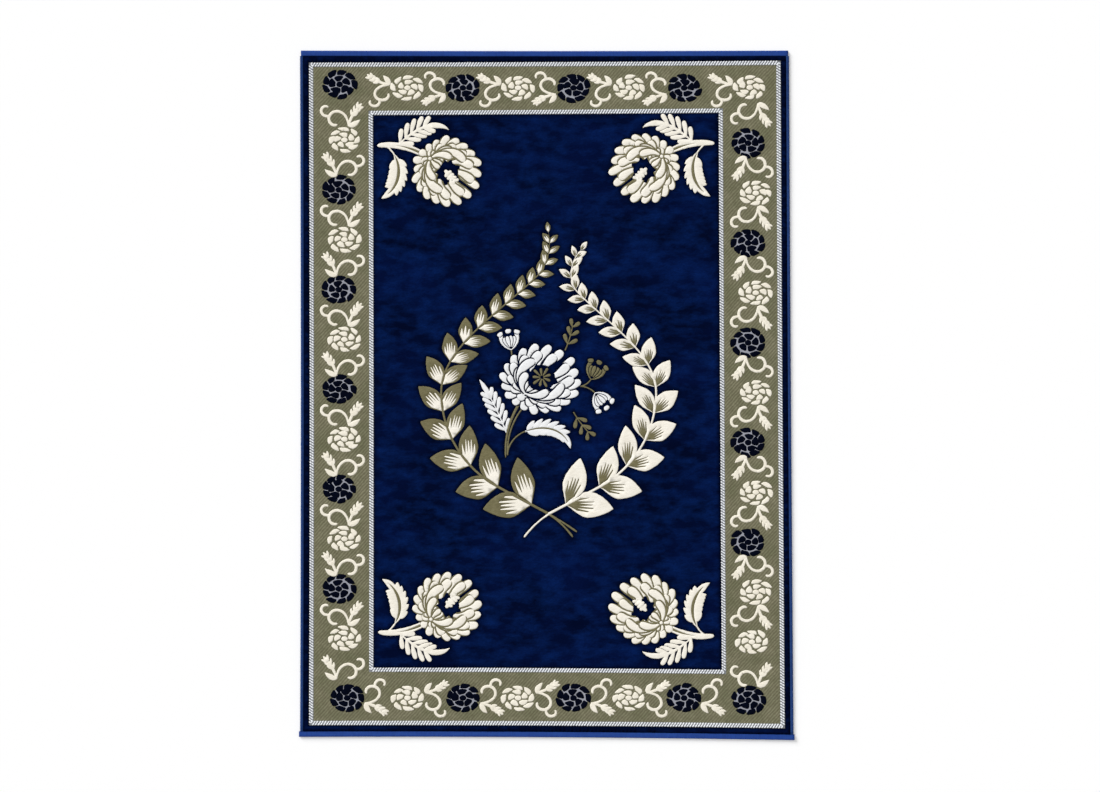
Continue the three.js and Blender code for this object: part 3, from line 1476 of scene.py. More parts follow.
@dataclass
class Cut:
    """The plane cut along the chart's outlines.

    The coarse cut has only the outlines' own points, and becomes the pads' undersides. The fine
    cut adds points that round the pads' shoulders, and becomes their tops.
    """

    chart: Chart
    slack: float = 0.02
    fine_slack: float = 1e-5
    ring: float = 2.1
    ring_spacing: float = 2.4
    shortest_edge: float = 1.2
    field_spacing: float = 13.0
    field_clear: float = 5.5
    seed: int = 5

    def __post_init__(self) -> None:
        """Makes both cuts."""
        self.spots = sorted(
            {Spot(s.zone, s.yarn) for s in self.chart.shapes}, key=lambda s: (s.zone, s.yarn.value)
        )
        number = {spot: i for i, spot in enumerate(self.spots)}
        self.shape_spot = np.array([number[Spot(s.zone, s.yarn)] for s in self.chart.shapes])
        self.cut_coarse()
        self.cut_fine()

    def cut_coarse(self) -> None:
        """Cuts along the outlines alone and finds the edges between unlike spots."""
        outlines = [shape.outline for shape in self.chart.shapes]
        starts = np.cumsum([0] + [len(outline) for outline in outlines[:-1]])
        edges = [
            (int(first) + k, int(first) + (k + 1) % len(outline))
            for first, outline in zip(starts, outlines)
            for k in range(len(outline))
        ]
        corners = [Vector((p.real, p.imag)) for p in np.concatenate(outlines)]
        points, lines, triangles, _, sources, _ = geometry.delaunay_2d_cdt(
            corners, edges, [], 0, self.slack, True
        )
        self.points = np.array([p.x + 1j * p.y for p in points])
        self.triangles = np.array(triangles)
        start, end, triangle, across = left_of(self.triangles, len(self.points))
        fenced = fences(lines, sources, len(self.points))
        open_edge = (across >= 0) & ~np.isin(keys(start, end, len(self.points)), fenced)
        region = grouped(len(self.triangles), triangle[open_edge], across[open_edge])
        self.owner = self.found(self.points[self.triangles], region)
        here = self.owner[triangle]
        there = np.where(across >= 0, self.owner[across], -1)
        rim = (here >= 0) & (here != there)
        self.rim_start, self.rim_end, self.rim_spot = start[rim], end[rim], here[rim]

    def found(self, triangles: np.ndarray, region: np.ndarray) -> np.ndarray:
        """Finds the spot each region lies in, by the middle of its largest triangle.

        Args:
            triangles: The corners of the triangles, a row each.
            region: The region of each triangle.

        Returns:
            The spot of each triangle, or -1 outside the rug.
        """
        a, b, c = triangles.T
        area = ((b - a) * np.conj(c - a)).imag
        order = np.argsort(np.abs(area))
        largest = np.zeros(len(triangles), int)
        largest[region[order]] = order
        numbers = np.unique(region)
        middles = triangles[largest[numbers]].mean(axis=1)
        spots = np.full(len(triangles), -1)
        for shape, spot in zip(self.chart.shapes, self.shape_spot):
            x, y = shape.outline.real, shape.outline.imag
            near = (middles.real > x.min()) & (middles.real < x.max())
            near = np.flatnonzero(near & (middles.imag > y.min()) & (middles.imag < y.max()))
            spots[numbers[near[encloses(shape.outline, middles[near])]]] = spot
        return spots[region]

    def rim_tree(self) -> kdtree.KDTree:
        """A search tree of points about a millimetre apart along every edge between spots.

        Returns:
            The search tree.
        """
        a, b = self.points[self.rim_start], self.points[self.rim_end]
        samples = [a]
        for share in (0.2, 0.4, 0.6, 0.8):
            long = np.abs(b - a) > 1.5
            samples.append((a + (b - a) * share)[long])
        along = np.concatenate(samples)
        tree = kdtree.KDTree(len(along))
        for index, point in enumerate(along):
            tree.insert((point.real, point.imag, 0), index)
        tree.balance()
        return tree

    def loose_points(self, tree: kdtree.KDTree) -> np.ndarray:
        """Points inside the spots: a ring along their edges and a wide grid over the rest.

        Args:
            tree: The search tree of the rims.

        Returns:
            The points.
        """
        a, b = self.points[self.rim_start], self.points[self.rim_end]
        raised = np.array([RELIEFS[s.yarn].shoulder > 0 for s in self.spots])[self.rim_spot]
        long = np.abs(b - a) > self.shortest_edge
        inward = 1j * (b - a) / np.abs(b - a) * self.ring
        beside = ((a + b) / 2 + inward)[raised & long]
        beside = beside[distances(tree, beside) > self.ring * 0.85]
        column = np.floor(beside.real / self.ring_spacing)
        cell = column * 100000 + np.floor(beside.imag / self.ring_spacing)
        beside = beside[np.unique(cell, return_index=True)[1]]
        box = self.points
        step = self.field_spacing
        xs = np.arange(box.real.min(), box.real.max(), step)
        ys = np.arange(box.imag.min(), box.imag.max(), step * 0.87)
        random = np.random.default_rng(self.seed)
        grid = (xs[None, :] + (np.arange(len(ys))[:, None] % 2) * step / 2 + 1j * ys[:, None]).ravel()
        grid = grid + random.uniform(-1, 1, len(grid)) + 1j * random.uniform(-1, 1, len(grid))
        return np.concatenate([beside, grid[distances(tree, grid) > self.field_clear]])

    def cut_fine(self) -> None:
        """Cuts again with the loose points, and gives each triangle the spot it lies in."""
        tree = self.rim_tree()
        used = np.unique(np.concatenate([self.rim_start, self.rim_end]))
        renumbered = np.full(len(self.points), -1)
        renumbered[used] = np.arange(len(used))
        ends = np.sort(np.stack([renumbered[self.rim_start], renumbered[self.rim_end]], 1), axis=1)
        ends = np.unique(ends, axis=0)
        loose = self.loose_points(tree)
        corners = [Vector((p.real, p.imag)) for p in np.concatenate([self.points[used], loose])]
        points, edges, triangles, from_points, from_edges, _ = geometry.delaunay_2d_cdt(
            corners, [tuple(map(int, e)) for e in ends], [], 0, self.fine_slack, True
        )
        self.fine_points = np.array([p.x + 1j * p.y for p in points])
        self.fine_triangles = np.array(triangles)
        self.fine_rim = np.full(len(points), -1)
        for index, sources in enumerate(from_points):
            on_rim = [s for s in sources if s < len(used)]
            if on_rim:
                self.fine_rim[index] = used[on_rim[0]]
        self.fine_owner = self.spread(fences(edges, from_edges, len(points)))
        self.fine_far = np.where(self.fine_rim >= 0, 0.0, distances(tree, self.fine_points))

    def spread(self, fenced: np.ndarray) -> np.ndarray:
        """Spreads each spot from its own side of the rim edges over the fine triangles.

        Args:
            fenced: The keys of the edges that no spot spreads across.

        Returns:
            The spot of each fine triangle, or -1 outside the rug.
        """
        count = len(self.fine_points)
        start, end, triangle, across = left_of(self.fine_triangles, count)
        closed = np.isin(keys(start, end, count), fenced)
        open_edge = (across >= 0) & ~closed
        region = grouped(len(self.fine_triangles), triangle[open_edge], across[open_edge])
        coarse = len(self.points)
        rim = self.rim_start * coarse + self.rim_end
        order = np.argsort(rim)
        a, b = self.fine_rim[start], self.fine_rim[end]
        wanted = np.where(closed & (a >= 0) & (b >= 0), a * coarse + b, -1)
        at = np.minimum(np.searchsorted(rim[order], wanted), len(rim) - 1)
        known = rim[order][at] == wanted
        spots = np.full(len(self.fine_triangles), -1)
        spots[region[triangle[known]]] = self.rim_spot[order][at][known]
        return spots[region]


def pattern_shape(name: str, vertices: np.ndarray, faces: list) -> bpy.types.Object:
    """Makes a smooth-shaded object from millimetres, not yet in the scene.

    Args:
        name: The object's name.
        vertices: Its points, a row each, in millimetres.
        faces: The vertex numbers of its faces, facing outwards.

    Returns:
        The object.
    """
    mesh = bpy.data.meshes.new(name)
    mesh.from_pydata((vertices * MM).tolist(), [], faces)
    mesh.polygons.foreach_set("use_smooth", [True] * len(mesh.polygons))
    return bpy.data.objects.new(name, mesh)


def mesh_object(name: str, vertices: np.ndarray, faces: list) -> bpy.types.Object:
    """Makes a mesh object from millimetres, smooth-shaded, and links it into the scene.

    Args:
        name: The piece's name.
        vertices: Its points, a row each, in millimetres.
        faces: The vertex numbers of its faces, facing outwards.

    Returns:
        The new object, riding on the rug's body.
    """
    made = pattern_shape(name, np.asarray(vertices, float), faces)
    made.data.update()
    bpy.context.scene.collection.objects.link(made)
    return seated(made)


def seated(piece: bpy.types.Object) -> bpy.types.Object:
    """Makes a finished piece ride on the rug.

    Args:
        piece: The piece.

    Returns:
        The same piece.
    """
    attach(piece, BODY)
    return piece


@dataclass
class WovenPads:
    """The pile and weave: a closed pad for each spot, standing on the ground cloth."""

    cut: Cut
    finishes: dict[Yarn, "Finish"]
    floor: float = 3.0
    shadow_reach: float = 10.0
    unevenness: float = 0.12
    seed: int = 3

    def build(self) -> list[bpy.types.Object]:
        """Makes every pad.

        Returns:
            The pads, a piece each.
        """
        return [self.pad(index, spot) for index, spot in enumerate(self.cut.spots)]

    def heights(self, relief: Relief, far: np.ndarray) -> np.ndarray:
        """How high the pad's top is at these distances from its edge.

        Args:
            relief: The relief of its yarn.
            far: The distances, in millimetres.

        Returns:
            The heights, in millimetres.
        """
        if relief.shoulder <= 0:
            return np.full(len(far), relief.rim)
        share = np.clip(far / relief.shoulder, 0, 1)
        return relief.rim + (relief.top - relief.rim) * np.sqrt(1 - (1 - share) ** 2)

    def pad(self, index: int, spot: Spot) -> bpy.types.Object:
        """Makes the pad of one spot: its top, its underside and the wall between them.

        Args:
            index: The spot's number.
            spot: The spot.

        Returns:
            The pad.
        """
        cut, relief = self.cut, RELIEFS[spot.yarn]
        top = cut.fine_triangles[cut.fine_owner == index]
        bottom = cut.triangles[cut.owner == index][:, ::-1]
        top_used = np.unique(top)
        bottom_used = np.unique(bottom)
        far = cut.fine_far[top_used]
        random = np.random.default_rng(self.seed + index)
        rough = random.normal(0, self.unevenness / 2, len(far)) * (far > 0) * (relief.shoulder > 0)
        z = self.heights(relief, far) + rough
        upper = cut.fine_points[top_used]
        lower = cut.points[bottom_used]
        low = np.full(len(lower), self.floor)
        vertices = np.concatenate(
            [np.stack([upper.real, upper.imag, z], 1), np.stack([lower.real, lower.imag, low], 1)]
        )
        to_top = np.full(len(cut.fine_points), -1)
        to_top[top_used] = np.arange(len(top_used))
        to_bottom = np.full(len(cut.points), -1)
        to_bottom[bottom_used] = np.arange(len(bottom_used)) + len(top_used)
        rim_top = {int(cut.fine_rim[v]): int(to_top[v]) for v in top_used if cut.fine_rim[v] >= 0}
        faces = to_top[top].tolist() + to_bottom[bottom].tolist()
        mine = cut.rim_spot == index
        missing = 0
        for a, b in zip(cut.rim_start[mine].tolist(), cut.rim_end[mine].tolist()):
            if a in rim_top and b in rim_top:
                faces.append([int(to_bottom[a]), int(to_bottom[b]), rim_top[b], rim_top[a]])
            else:
                missing += 1
        if missing:
            log.warning("%s lacks %d wall faces", spot, missing)
        made = mesh_object(f"{spot.zone}_{spot.yarn.value}", vertices, faces)
        # Painted shade: the inside attribute, 0 at the pad's edge and 1 a shadow reach in, darkens the
        # navy pile's colour towards the edge.
        depth = made.data.attributes.new("inside", "FLOAT", "POINT")
        inside = np.concatenate([np.clip(far / self.shadow_reach, 0, 1), np.zeros(len(lower))])
        depth.data.foreach_set("value", inside.astype(np.float32))
        if not relief.soft:
            self.sharpen(made.data)
        made.data.materials.append(self.finishes[spot.yarn].material())
        return made

    @staticmethod
    def sharpen(mesh: bpy.types.Mesh) -> None:
        """Shades each face by itself, as on a flat-woven ground."""
        mesh.polygons.foreach_set("use_smooth", [False] * len(mesh.polygons))


# ---------------- finishes


def linear(colour: str) -> tuple[float, float, float, float]:
    """Turns an sRGB hex colour such as "0a2b4c" to linear red, green, blue and alpha.

    Args:
        colour: The hex colour.

    Returns:
        The four values.
    """
    parts = [int(colour[i : i + 2], 16) / 255 for i in (0, 2, 4)]
    straight = [p / 12.92 if p <= 0.04045 else ((p + 0.055) / 1.055) ** 2.4 for p in parts]
    return (*straight, 1.0)


def add_node(
    tree: bpy.types.NodeTree, kind: str, inputs: dict | None = None, **settings: object
) -> bpy.types.Node:
    """Adds a node to a tree.

    Args:
        tree: The shader or geometry tree.
        kind: The node's type name.
        inputs: Values or output sockets for its inputs, by name or number.
        settings: Its own settings.

    Returns:
        The new node.
    """
    made = tree.nodes.new(kind)
    for name, value in settings.items():
        setattr(made, name, value)
    for socket, value in (inputs or {}).items():
        if isinstance(value, bpy.types.NodeSocket):
            tree.links.new(value, made.inputs[socket])
        else:
            made.inputs[socket].default_value = value
    return made


class Surface:
    """A material as it is built: its tree, its shader, and the piece's own coordinates."""

    # how many waves a wave texture has in a metre at a scale of 1
    WAVES_A_UNIT = 3.1831

    def __init__(self, name: str, **shader: float | tuple) -> None:
        """Starts the material.

        Args:
            name: The material's name.
            shader: Values for the shader's own sockets, with _ for each space in their names.
        """
        self.material = bpy.data.materials.new(name)
        self.material.use_nodes = True
        self.tree = self.material.node_tree
        self.tree.nodes.clear()
        self.node = partial(add_node, self.tree)
        values = {key.replace("_", " "): value for key, value in shader.items()}
        self.shader = self.node("ShaderNodeBsdfPrincipled", values)
        self.node("ShaderNodeOutputMaterial", {"Surface": self.shader.outputs[0]})
        self.place = self.node("ShaderNodeTexCoord").outputs["Object"]

    def patches(
        self, size: tuple[float, float], low: float, high: float, detail: float = 3, shift: float = 0
    ) -> bpy.types.NodeSocket:
        """Soft irregular patches.

        Args:
            size: Their length across and along the rug, in millimetres.
            low: The noise level that reads as 0.
            high: The noise level that reads as 1.
            detail: The noise's detail.
            shift: How far the pattern is moved, so that two of them differ.

        Returns:
            A value from 0 to 1.
        """
        scale = (1 / (size[0] * MM), 1 / (size[1] * MM), 1 / (size[1] * MM))
        laid = {"Vector": self.place, "Scale": scale, "Location": (shift, shift, shift)}
        spread = self.node("ShaderNodeMapping", laid).outputs[0]
        grain = {"Vector": spread, "Scale": 1.0, "Detail": detail, "Roughness": 0.6}
        noise = self.node("ShaderNodeTexNoise", grain).outputs[0]
        levels = {"Value": noise, "From Min": low, "From Max": high}
        return self.node("ShaderNodeMapRange", levels, clamp=True).outputs[0]

    def ribs(self, pitch: float, angle: float, waver: float = 1.5) -> bpy.types.NodeSocket:
        """Parallel ribs, such as a twill's.

        Args:
            pitch: Their spacing in millimetres.
            angle: The way they run, in degrees from the rug's width.
            waver: How far they waver.

        Returns:
            A value from 0 to 1.
        """
        laid = {"Vector": self.place, "Rotation": (0, 0, math.radians(90 - angle))}
        wave = {
            "Vector": self.node("ShaderNodeMapping", laid).outputs[0],
            "Scale": 1 / (pitch * MM) / self.WAVES_A_UNIT,
            "Distortion": waver,
            "Detail": 1.0,
            "Detail Scale": 2.0,
        }
        return self.node("ShaderNodeTexWave", wave).outputs["Fac"]

    def layered(
        self,
        pattern: bpy.types.NodeSocket,
        under: object,
        over: object,
        strength: float | None = None,
    ) -> bpy.types.NodeSocket:
        """Lays one colour over another where a pattern says, each a hex string or a socket.

        Args:
            pattern: How much of the upper colour shows, from 0 to 1.
            under: The lower colour.
            over: The upper colour.
            strength: A factor for the pattern, where it has one.

        Returns:
            The colour of both.
        """
        share = pattern
        if strength is not None:
            factors = {0: pattern, 1: strength}
            share = self.node("ShaderNodeMath", factors, operation="MULTIPLY").outputs[0]
        colours = [linear(c) if isinstance(c, str) else c for c in (under, over)]
        inputs = {0: share, 6: colours[0], 7: colours[1]}
        return self.node("ShaderNodeMix", inputs, data_type="RGBA").outputs[2]

    def coloured(self, colour: bpy.types.NodeSocket) -> None:
        """Gives the shader its colour."""
        self.tree.links.new(colour, self.shader.inputs["Base Color"])

    def bumped(self, *heights: tuple[bpy.types.NodeSocket, float]) -> None:
        """Gives the shader bumps, each a value from 0 to 1 and its depth in millimetres.

        Args:
            heights: The heights and their depths.
        """
        normal = None
        for height, depth in heights:
            inputs = {"Height": height, "Distance": depth * MM, "Strength": 1.0}
            if normal is not None:
                inputs["Normal"] = normal
            normal = self.node("ShaderNodeBump", inputs).outputs[0]
        self.tree.links.new(normal, self.shader.inputs["Normal"])


class Finish:
    """A finish that makes its material once and then shares it."""

    def material(self) -> bpy.types.Material:
        """The finish's material.

        Returns:
            The material.
        """
        if self.name not in bpy.data.materials:
            self.make()
        return bpy.data.materials[self.name]

    def make(self) -> None:
        """Builds the material. Each finish has its own."""
        raise NotImplementedError


@dataclass(frozen=True)
class NavyCutPile(Finish):
    """Heat-set polypropylene cut pile, dyed navy and never quite brushed one way.

    Short streaks along the weft are painted a brighter blue, a painted highlight where tufts lean
    towards the light, and painted shade turns the pile nearly black where it dips at a motif's edge.
    """

    name: str = "navy cut pile, heat-set polypropylene"
    deep: str = "010824"
    plain: str = "03103a"
    lit: str = "0b2b6c"
    streak: tuple[float, float] = (60.0, 30.0)
    cloud: tuple[float, float] = (230.0, 150.0)
    tuft: float = 5.0

    def make(self) -> None:
        """Builds the material."""
        surface = Surface(self.name, Roughness=1.0, Specular_IOR_Level=0.02)
        lit_streaks = surface.patches(self.streak, 0.4, 0.8, 4)
        clouds = surface.patches(self.cloud, 0.36, 0.68, 2, 7)
        tufts = surface.patches((self.tuft * 1.5, self.tuft), 0.3, 0.7, 2, 3)
        body = surface.layered(clouds, self.deep, self.plain)
        # Painted highlight: the streaks are mixed towards the lit blue.
        body = surface.layered(lit_streaks, body, self.lit, 0.6)
        body = surface.layered(tufts, body, self.deep, 0.3)
        # Painted shade: the colour runs to near black at each pad's edge, by the inside attribute.
        inside = add_node(surface.tree, "ShaderNodeAttribute", attribute_name="inside").outputs["Fac"]
        body = surface.layered(inside, "00051a", body)
        surface.coloured(body)
        surface.bumped((tufts, 0.5), (lit_streaks, 0.8))


@dataclass(frozen=True)
class TwillGround(Finish):
    """Flat-woven twill of olive and brown jute-like yarns: a fine diagonal rib, mottled."""

    name: str = "olive twill ground, flat woven"
    light: str = "8a876e"
    dark: str = "57523e"
    green: str = "74765a"
    pitch: float = 8.0

    def make(self) -> None:
        """Builds the material."""
        surface = Surface(self.name, Roughness=0.9, Specular_IOR_Level=0.15)
        ribs = surface.ribs(self.pitch, 48)
        patches = surface.patches((60, 60), 0.35, 0.7, 4)
        flecks = surface.patches((9, 9), 0.35, 0.65, 3, 5)
        body = surface.layered(patches, self.light, self.green)
        body = surface.layered(ribs, body, self.dark, 0.6)
        body = surface.layered(flecks, body, self.dark, 0.4)
        surface.coloured(body)
        surface.bumped((ribs, 0.35), (flecks, 0.2))


@dataclass(frozen=True)
class Lustre(Finish):
    """Bulked lustrous yarn: a plain colour broken by fine floats, with a soft shine."""

    name: str
    light: str
    dark: str
    float_length: float = 9.0
    roughness: float = 0.75
    specular: float = 0.25
    mottle: float = 0.5

    def make(self) -> None:
        """Builds the material."""
        surface = Surface(self.name, Roughness=self.roughness, Specular_IOR_Level=self.specular)
        floats = surface.patches((self.float_length, 3.5), 0.32, 0.68, 2)
        patches = surface.patches((45, 45), 0.35, 0.65, 3, 9)
        body = surface.layered(floats, self.light, self.dark, self.mottle)
        body = surface.layered(patches, body, self.dark, 0.35)
        surface.coloured(body)
        surface.bumped((floats, 0.3))


@dataclass(frozen=True)
class SatinTape(Finish):
    """Woven polyester binding tape: a fine cross rib, a satin shine along its fold, and painted sheen in
    lighter streaks along it.
    """

    name: str = "royal blue binding tape, polyester satin"
    light: str = "204290"
    dark: str = "14306e"

    def make(self) -> None:
        """Builds the material."""
        surface = Surface(self.name, Roughness=0.55, Specular_IOR_Level=0.1)
        ribs = surface.patches((2.5, 18), 0.3, 0.7, 1)
        painted_sheen = surface.patches((90, 8), 0.4, 0.7, 3, 4)
        body = surface.layered(ribs, self.light, self.dark, 0.5)
        # Painted sheen: lighter blue streaks along the tape.
        body = surface.layered(painted_sheen, body, "2c529c", 0.35)
        surface.coloured(body)
        surface.bumped((ribs, 0.15))


@dataclass(frozen=True)
class JuteBack(Finish):
    """The back of the ground cloth: plain-woven jute with latex, buff and dull."""

    name: str = "jute ground cloth, plain woven"

    def make(self) -> None:
        """Builds the material."""
        surface = Surface(self.name, Roughness=0.95, Specular_IOR_Level=0.1)
        weft = surface.ribs(4.0, 0, 0.8)
        warp = surface.ribs(4.0, 90, 0.8)
        body = surface.layered(weft, "a9946c", "8a7550", 0.6)
        body = surface.layered(warp, body, "6f5d40", 0.5)
        surface.coloured(body)
        surface.bumped((weft, 0.3), (warp, 0.3))


YARN_FINISHES = {
    Yarn.NAVY: NavyCutPile(),
    Yarn.BED: Lustre("grey fillet ground", "8b8e92", "686b70"),
    Yarn.WEAVE: TwillGround(),
    Yarn.BORDER_CREAM: Lustre("cream viscose float", "f8f2e4", "e0d8c2", mottle=0.4),
    Yarn.INK: Lustre("ink blue cut pile", "070b1c", "02040c", roughness=1.0, specular=0.02),
    Yarn.LINE: Lustre("grey outline yarn", "a2a4ae", "858790", mottle=0.6),
    Yarn.CREAM: Lustre("cream viscose pile", "faf5ea", "e6dfce", mottle=0.4),
    Yarn.OLIVE: Lustre("olive viscose pile", "7d7757", "5b5536", mottle=0.55),
    Yarn.SILVER: Lustre("silver white viscose pile", "f6f6f6", "dcdee0", mottle=0.35),
}
FILLET_CORD = Lustre("silver fillet cord", "fafcff", "dce0e6", 6.0, 0.55, 0.4)
SERGING_YARN = Lustre("dark blue overcast yarn", "274680", "142c5e", 5.0, 0.7, 0.12)
BINDING_THREAD = Lustre("blue binding thread", "234594", "142f6e", 4.0, 0.6, 0.12)
TAPE = SatinTape()
JUTE = JuteBack()


# ---------------- ground cloth


@dataclass
class GroundCloth:
    """The foundation cloth: one sheet under the pile, whose raw edges lie in the edge strips."""

    lay: Lay
    top: float = 3.0
    lip_under: float = 1.7
    lip_inset: float = 3.4
    cells: tuple[int, int] = (20, 28)

    def build(self) -> bpy.types.Object:
        """Makes the sheet as one closed solid.

        Returns:
            The sheet.
        """
        main = self.lay.pile()
        side = self.lay.half_width - self.lip_inset
        end = self.lay.half_length - self.lip_inset
        xs = [-side, *np.linspace(main.left, main.right, self.cells[0] + 1), side]
        ys = [-end, *np.linspace(main.bottom, main.top, self.cells[1] + 1), end]
        points: dict[tuple, int] = {}
        faces: list[list[int]] = []

        def corner(i: int, j: int, z: float) -> int:
            """The number of one grid corner at one height."""
            return points.setdefault((i, j, z), len(points))

        def wall(a: tuple[int, int], b: tuple[int, int], low: float, high: float) -> None:
            """Adds an upright face over one grid edge."""
            faces.append([corner(*a, low), corner(*b, low), corner(*b, high), corner(*a, high)])

        last_i, last_j = len(xs) - 2, len(ys) - 2
        for i in range(last_i + 1):
            for j in range(last_j + 1):
                lip = i in (0, last_i) or j in (0, last_j)
                low = self.lip_under if lip else 0.0
                ring = [(i, j), (i + 1, j), (i + 1, j + 1), (i, j + 1)]
                faces.append([corner(*c, self.top) for c in ring])
                faces.append([corner(*c, low) for c in reversed(ring)])
                beyond = [(i, j - 1), (i + 1, j), (i, j + 1), (i - 1, j)]
                for (a, b), (bi, bj) in zip(zip(ring, ring[1:] + ring[:1]), beyond):
                    outside = not (0 <= bi <= last_i and 0 <= bj <= last_j)
                    stepped = bi in (0, last_i) or bj in (0, last_j)
                    if outside:
                        wall(a, b, low, self.top)
                    elif stepped and not lip:
                        wall(a, b, 0.0, self.lip_under)
        flat = self.lay.floor(np.array([complex(xs[i], ys[j]) for i, j, _ in points]))
        heights = [z for _, _, z in points]
        vertices = np.stack([flat.real, flat.imag, heights], 1)
        made = mesh_object("ground_cloth", vertices, faces)
        WovenPads.sharpen(made.data)
        made.data.materials.append(JUTE.material())
        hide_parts("woven_cloth")
        return made


# ---------------- things repeated along a line


class AlongLine:
    """A geometry-node tree that sets one shape again and again along a line."""

    NAME = "shape along a line"
    INPUTS = {
        "Line": "Geometry",
        "Spacing": "Float",
        "Lean jitter": "Float",
        "Size jitter": "Float",
        "Seed": "Int",
        "Shape": "Object",
        "Finish": "Material",
    }

    def __init__(self) -> None:
        """Builds the tree."""
        self.tree = bpy.data.node_groups.new(self.NAME, "GeometryNodeTree")
        for name, kind in self.INPUTS.items():
            self.tree.interface.new_socket(name, in_out="INPUT", socket_type=f"NodeSocket{kind}")
        self.tree.interface.new_socket("Pieces", in_out="OUTPUT", socket_type="NodeSocketGeometry")
        node = partial(add_node, self.tree)
        given = node("NodeGroupInput").outputs
        curve = node("GeometryNodeMeshToCurve", {"Mesh": given["Line"]}).outputs[0]
        spaced = {"Curve": curve, "Length": given["Spacing"]}
        evenly = node("GeometryNodeResampleCurve", spaced, mode="LENGTH")
        shape = node("GeometryNodeObjectInfo", {"Object": given["Shape"]}).outputs["Geometry"]
        tangent = node("GeometryNodeInputTangent").outputs[0]
        facing = node("FunctionNodeAlignRotationToVector", {"Vector": tangent}, axis="X", pivot_axis="Z")
        lean = self.jitter(given["Lean jitter"], given["Seed"])
        radians = node("ShaderNodeMath", {0: lean}, operation="RADIANS").outputs[0]
        angles = node("ShaderNodeCombineXYZ", {"Z": radians}).outputs[0]
        turns = {"Rotation": facing.outputs[0], "Rotate By": angles}
        turned = node("FunctionNodeRotateRotation", turns, rotation_space="LOCAL").outputs[0]
        more = self.jitter(given["Size jitter"], given["Seed"])
        size = node("ShaderNodeMath", {0: more, 1: 1.0}, operation="ADD").outputs[0]
        placing = {"Points": evenly.outputs[0], "Instance": shape, "Rotation": turned, "Scale": size}
        placed = node("GeometryNodeInstanceOnPoints", placing).outputs[0]
        real = node("GeometryNodeRealizeInstances", {"Geometry": placed}).outputs[0]
        dressed = node("GeometryNodeSetMaterial", {"Geometry": real, "Material": given["Finish"]})
        node("NodeGroupOutput", {"Pieces": dressed.outputs[0]})

    def jitter(self, amount: bpy.types.NodeSocket, seed: bpy.types.NodeSocket) -> bpy.types.NodeSocket:
        """A seeded random number from minus an amount to plus it, new at each point.

        Args:
            amount: The greatest change either way.
            seed: The seed.

        Returns:
            The random number.
        """
        minus = add_node(self.tree, "ShaderNodeMath", {0: amount, 1: -1.0}, operation="MULTIPLY")
        bounds = {2: minus.outputs[0], 3: amount, "Seed": seed}
        return add_node(self.tree, "FunctionNodeRandomValue", bounds, data_type="FLOAT").outputs[1]

    def run(
        self,
        name: str,
        lines: list[np.ndarray],
        height: float,
        shape: bpy.types.Object,
        finish: Finish,
        slot: str,
        **numbers: float,
    ) -> bpy.types.Object:
        """Sets a shape along some lines and turns the result into a plain mesh.

        Args:
            name: The piece's name.
            lines: Floor points of each line, in millimetres.
            height: Their height over the floor, in millimetres.
            shape: The object to repeat, which lies along +X.
            finish: Its finish.
            slot: A material slot name; not used.
            numbers: Values for the tree's numbered inputs, with _ for each space.

        Returns:
            The finished piece.
        """
        mesh = bpy.data.meshes.new(name)
        points: list[tuple[float, float, float]] = []
        edges: list[tuple[int, int]] = []
        for line in lines:
            first = len(points)
            points += [(p.real * MM, p.imag * MM, height * MM) for p in line]
            edges += [(k, k + 1) for k in range(first, len(points) - 1)]
        mesh.from_pydata(points, edges, [])
        host = bpy.data.objects.new(name + "_line", mesh)
        bpy.context.scene.collection.objects.link(host)
        modifier = host.modifiers.new("along", "NODES")
        modifier.node_group = self.tree
        given = {key.replace("_", " "): value for key, value in numbers.items()}
        given |= {"Shape": shape, "Finish": finish.material()}
        for item in self.tree.interface.items_tree:
            if item.in_out == "INPUT" and item.name in given:
                modifier[item.identifier] = given[item.name]
        bpy.context.view_layer.update()
        graph = bpy.context.evaluated_depsgraph_get()
        plain = bpy.data.meshes.new_from_object(host.evaluated_get(graph), depsgraph=graph)
        plain.name = name
        host.modifiers.clear()
        bpy.data.objects.remove(host)
        bpy.data.meshes.remove(mesh)
        made = bpy.data.objects.new(name, plain)
        bpy.context.scene.collection.objects.link(made)
        return seated(made)


def tube(path: np.ndarray, radii: np.ndarray, sides: int) -> tuple[np.ndarray, list]:
    """A closed tube along a path in space, pinched shut at both ends.

    Args:
        path: Its middle line, a point a row.
        radii: The radius at each point.
        sides: The number of sides.

    Returns:
        Its vertices and its faces, facing outwards.
    """
    ahead = np.gradient(path, axis=0)
    ahead = ahead / np.linalg.norm(ahead, axis=1)[:, None]
    side = np.cross(ahead, np.array([0.0, 1.0, 0.01]))
    side = side / np.linalg.norm(side, axis=1)[:, None]
    up = np.cross(ahead, side)
    angles = np.linspace(0, 2 * math.pi, sides, endpoint=False)
    rings = [
        p + r * (np.cos(angles)[:, None] * s + np.sin(angles)[:, None] * u)
        for p, r, s, u in zip(path, radii, side, up)
    ]
    vertices = np.concatenate(rings + [path[:1], path[-1:]])
    faces: list[list[int]] = []
    for k in range(len(path) - 1):
        for i in range(sides):
            j = (i + 1) % sides
            faces.append([k * sides + i, k * sides + j, (k + 1) * sides + j, (k + 1) * sides + i])
    first, last = len(path) * sides, len(path) * sides + 1
    for i in range(sides):
        j = (i + 1) % sides
        end = (len(path) - 1) * sides
        faces += [[j, i, first], [end + i, end + j, last]]
    return vertices, faces


# ---------------- fillets


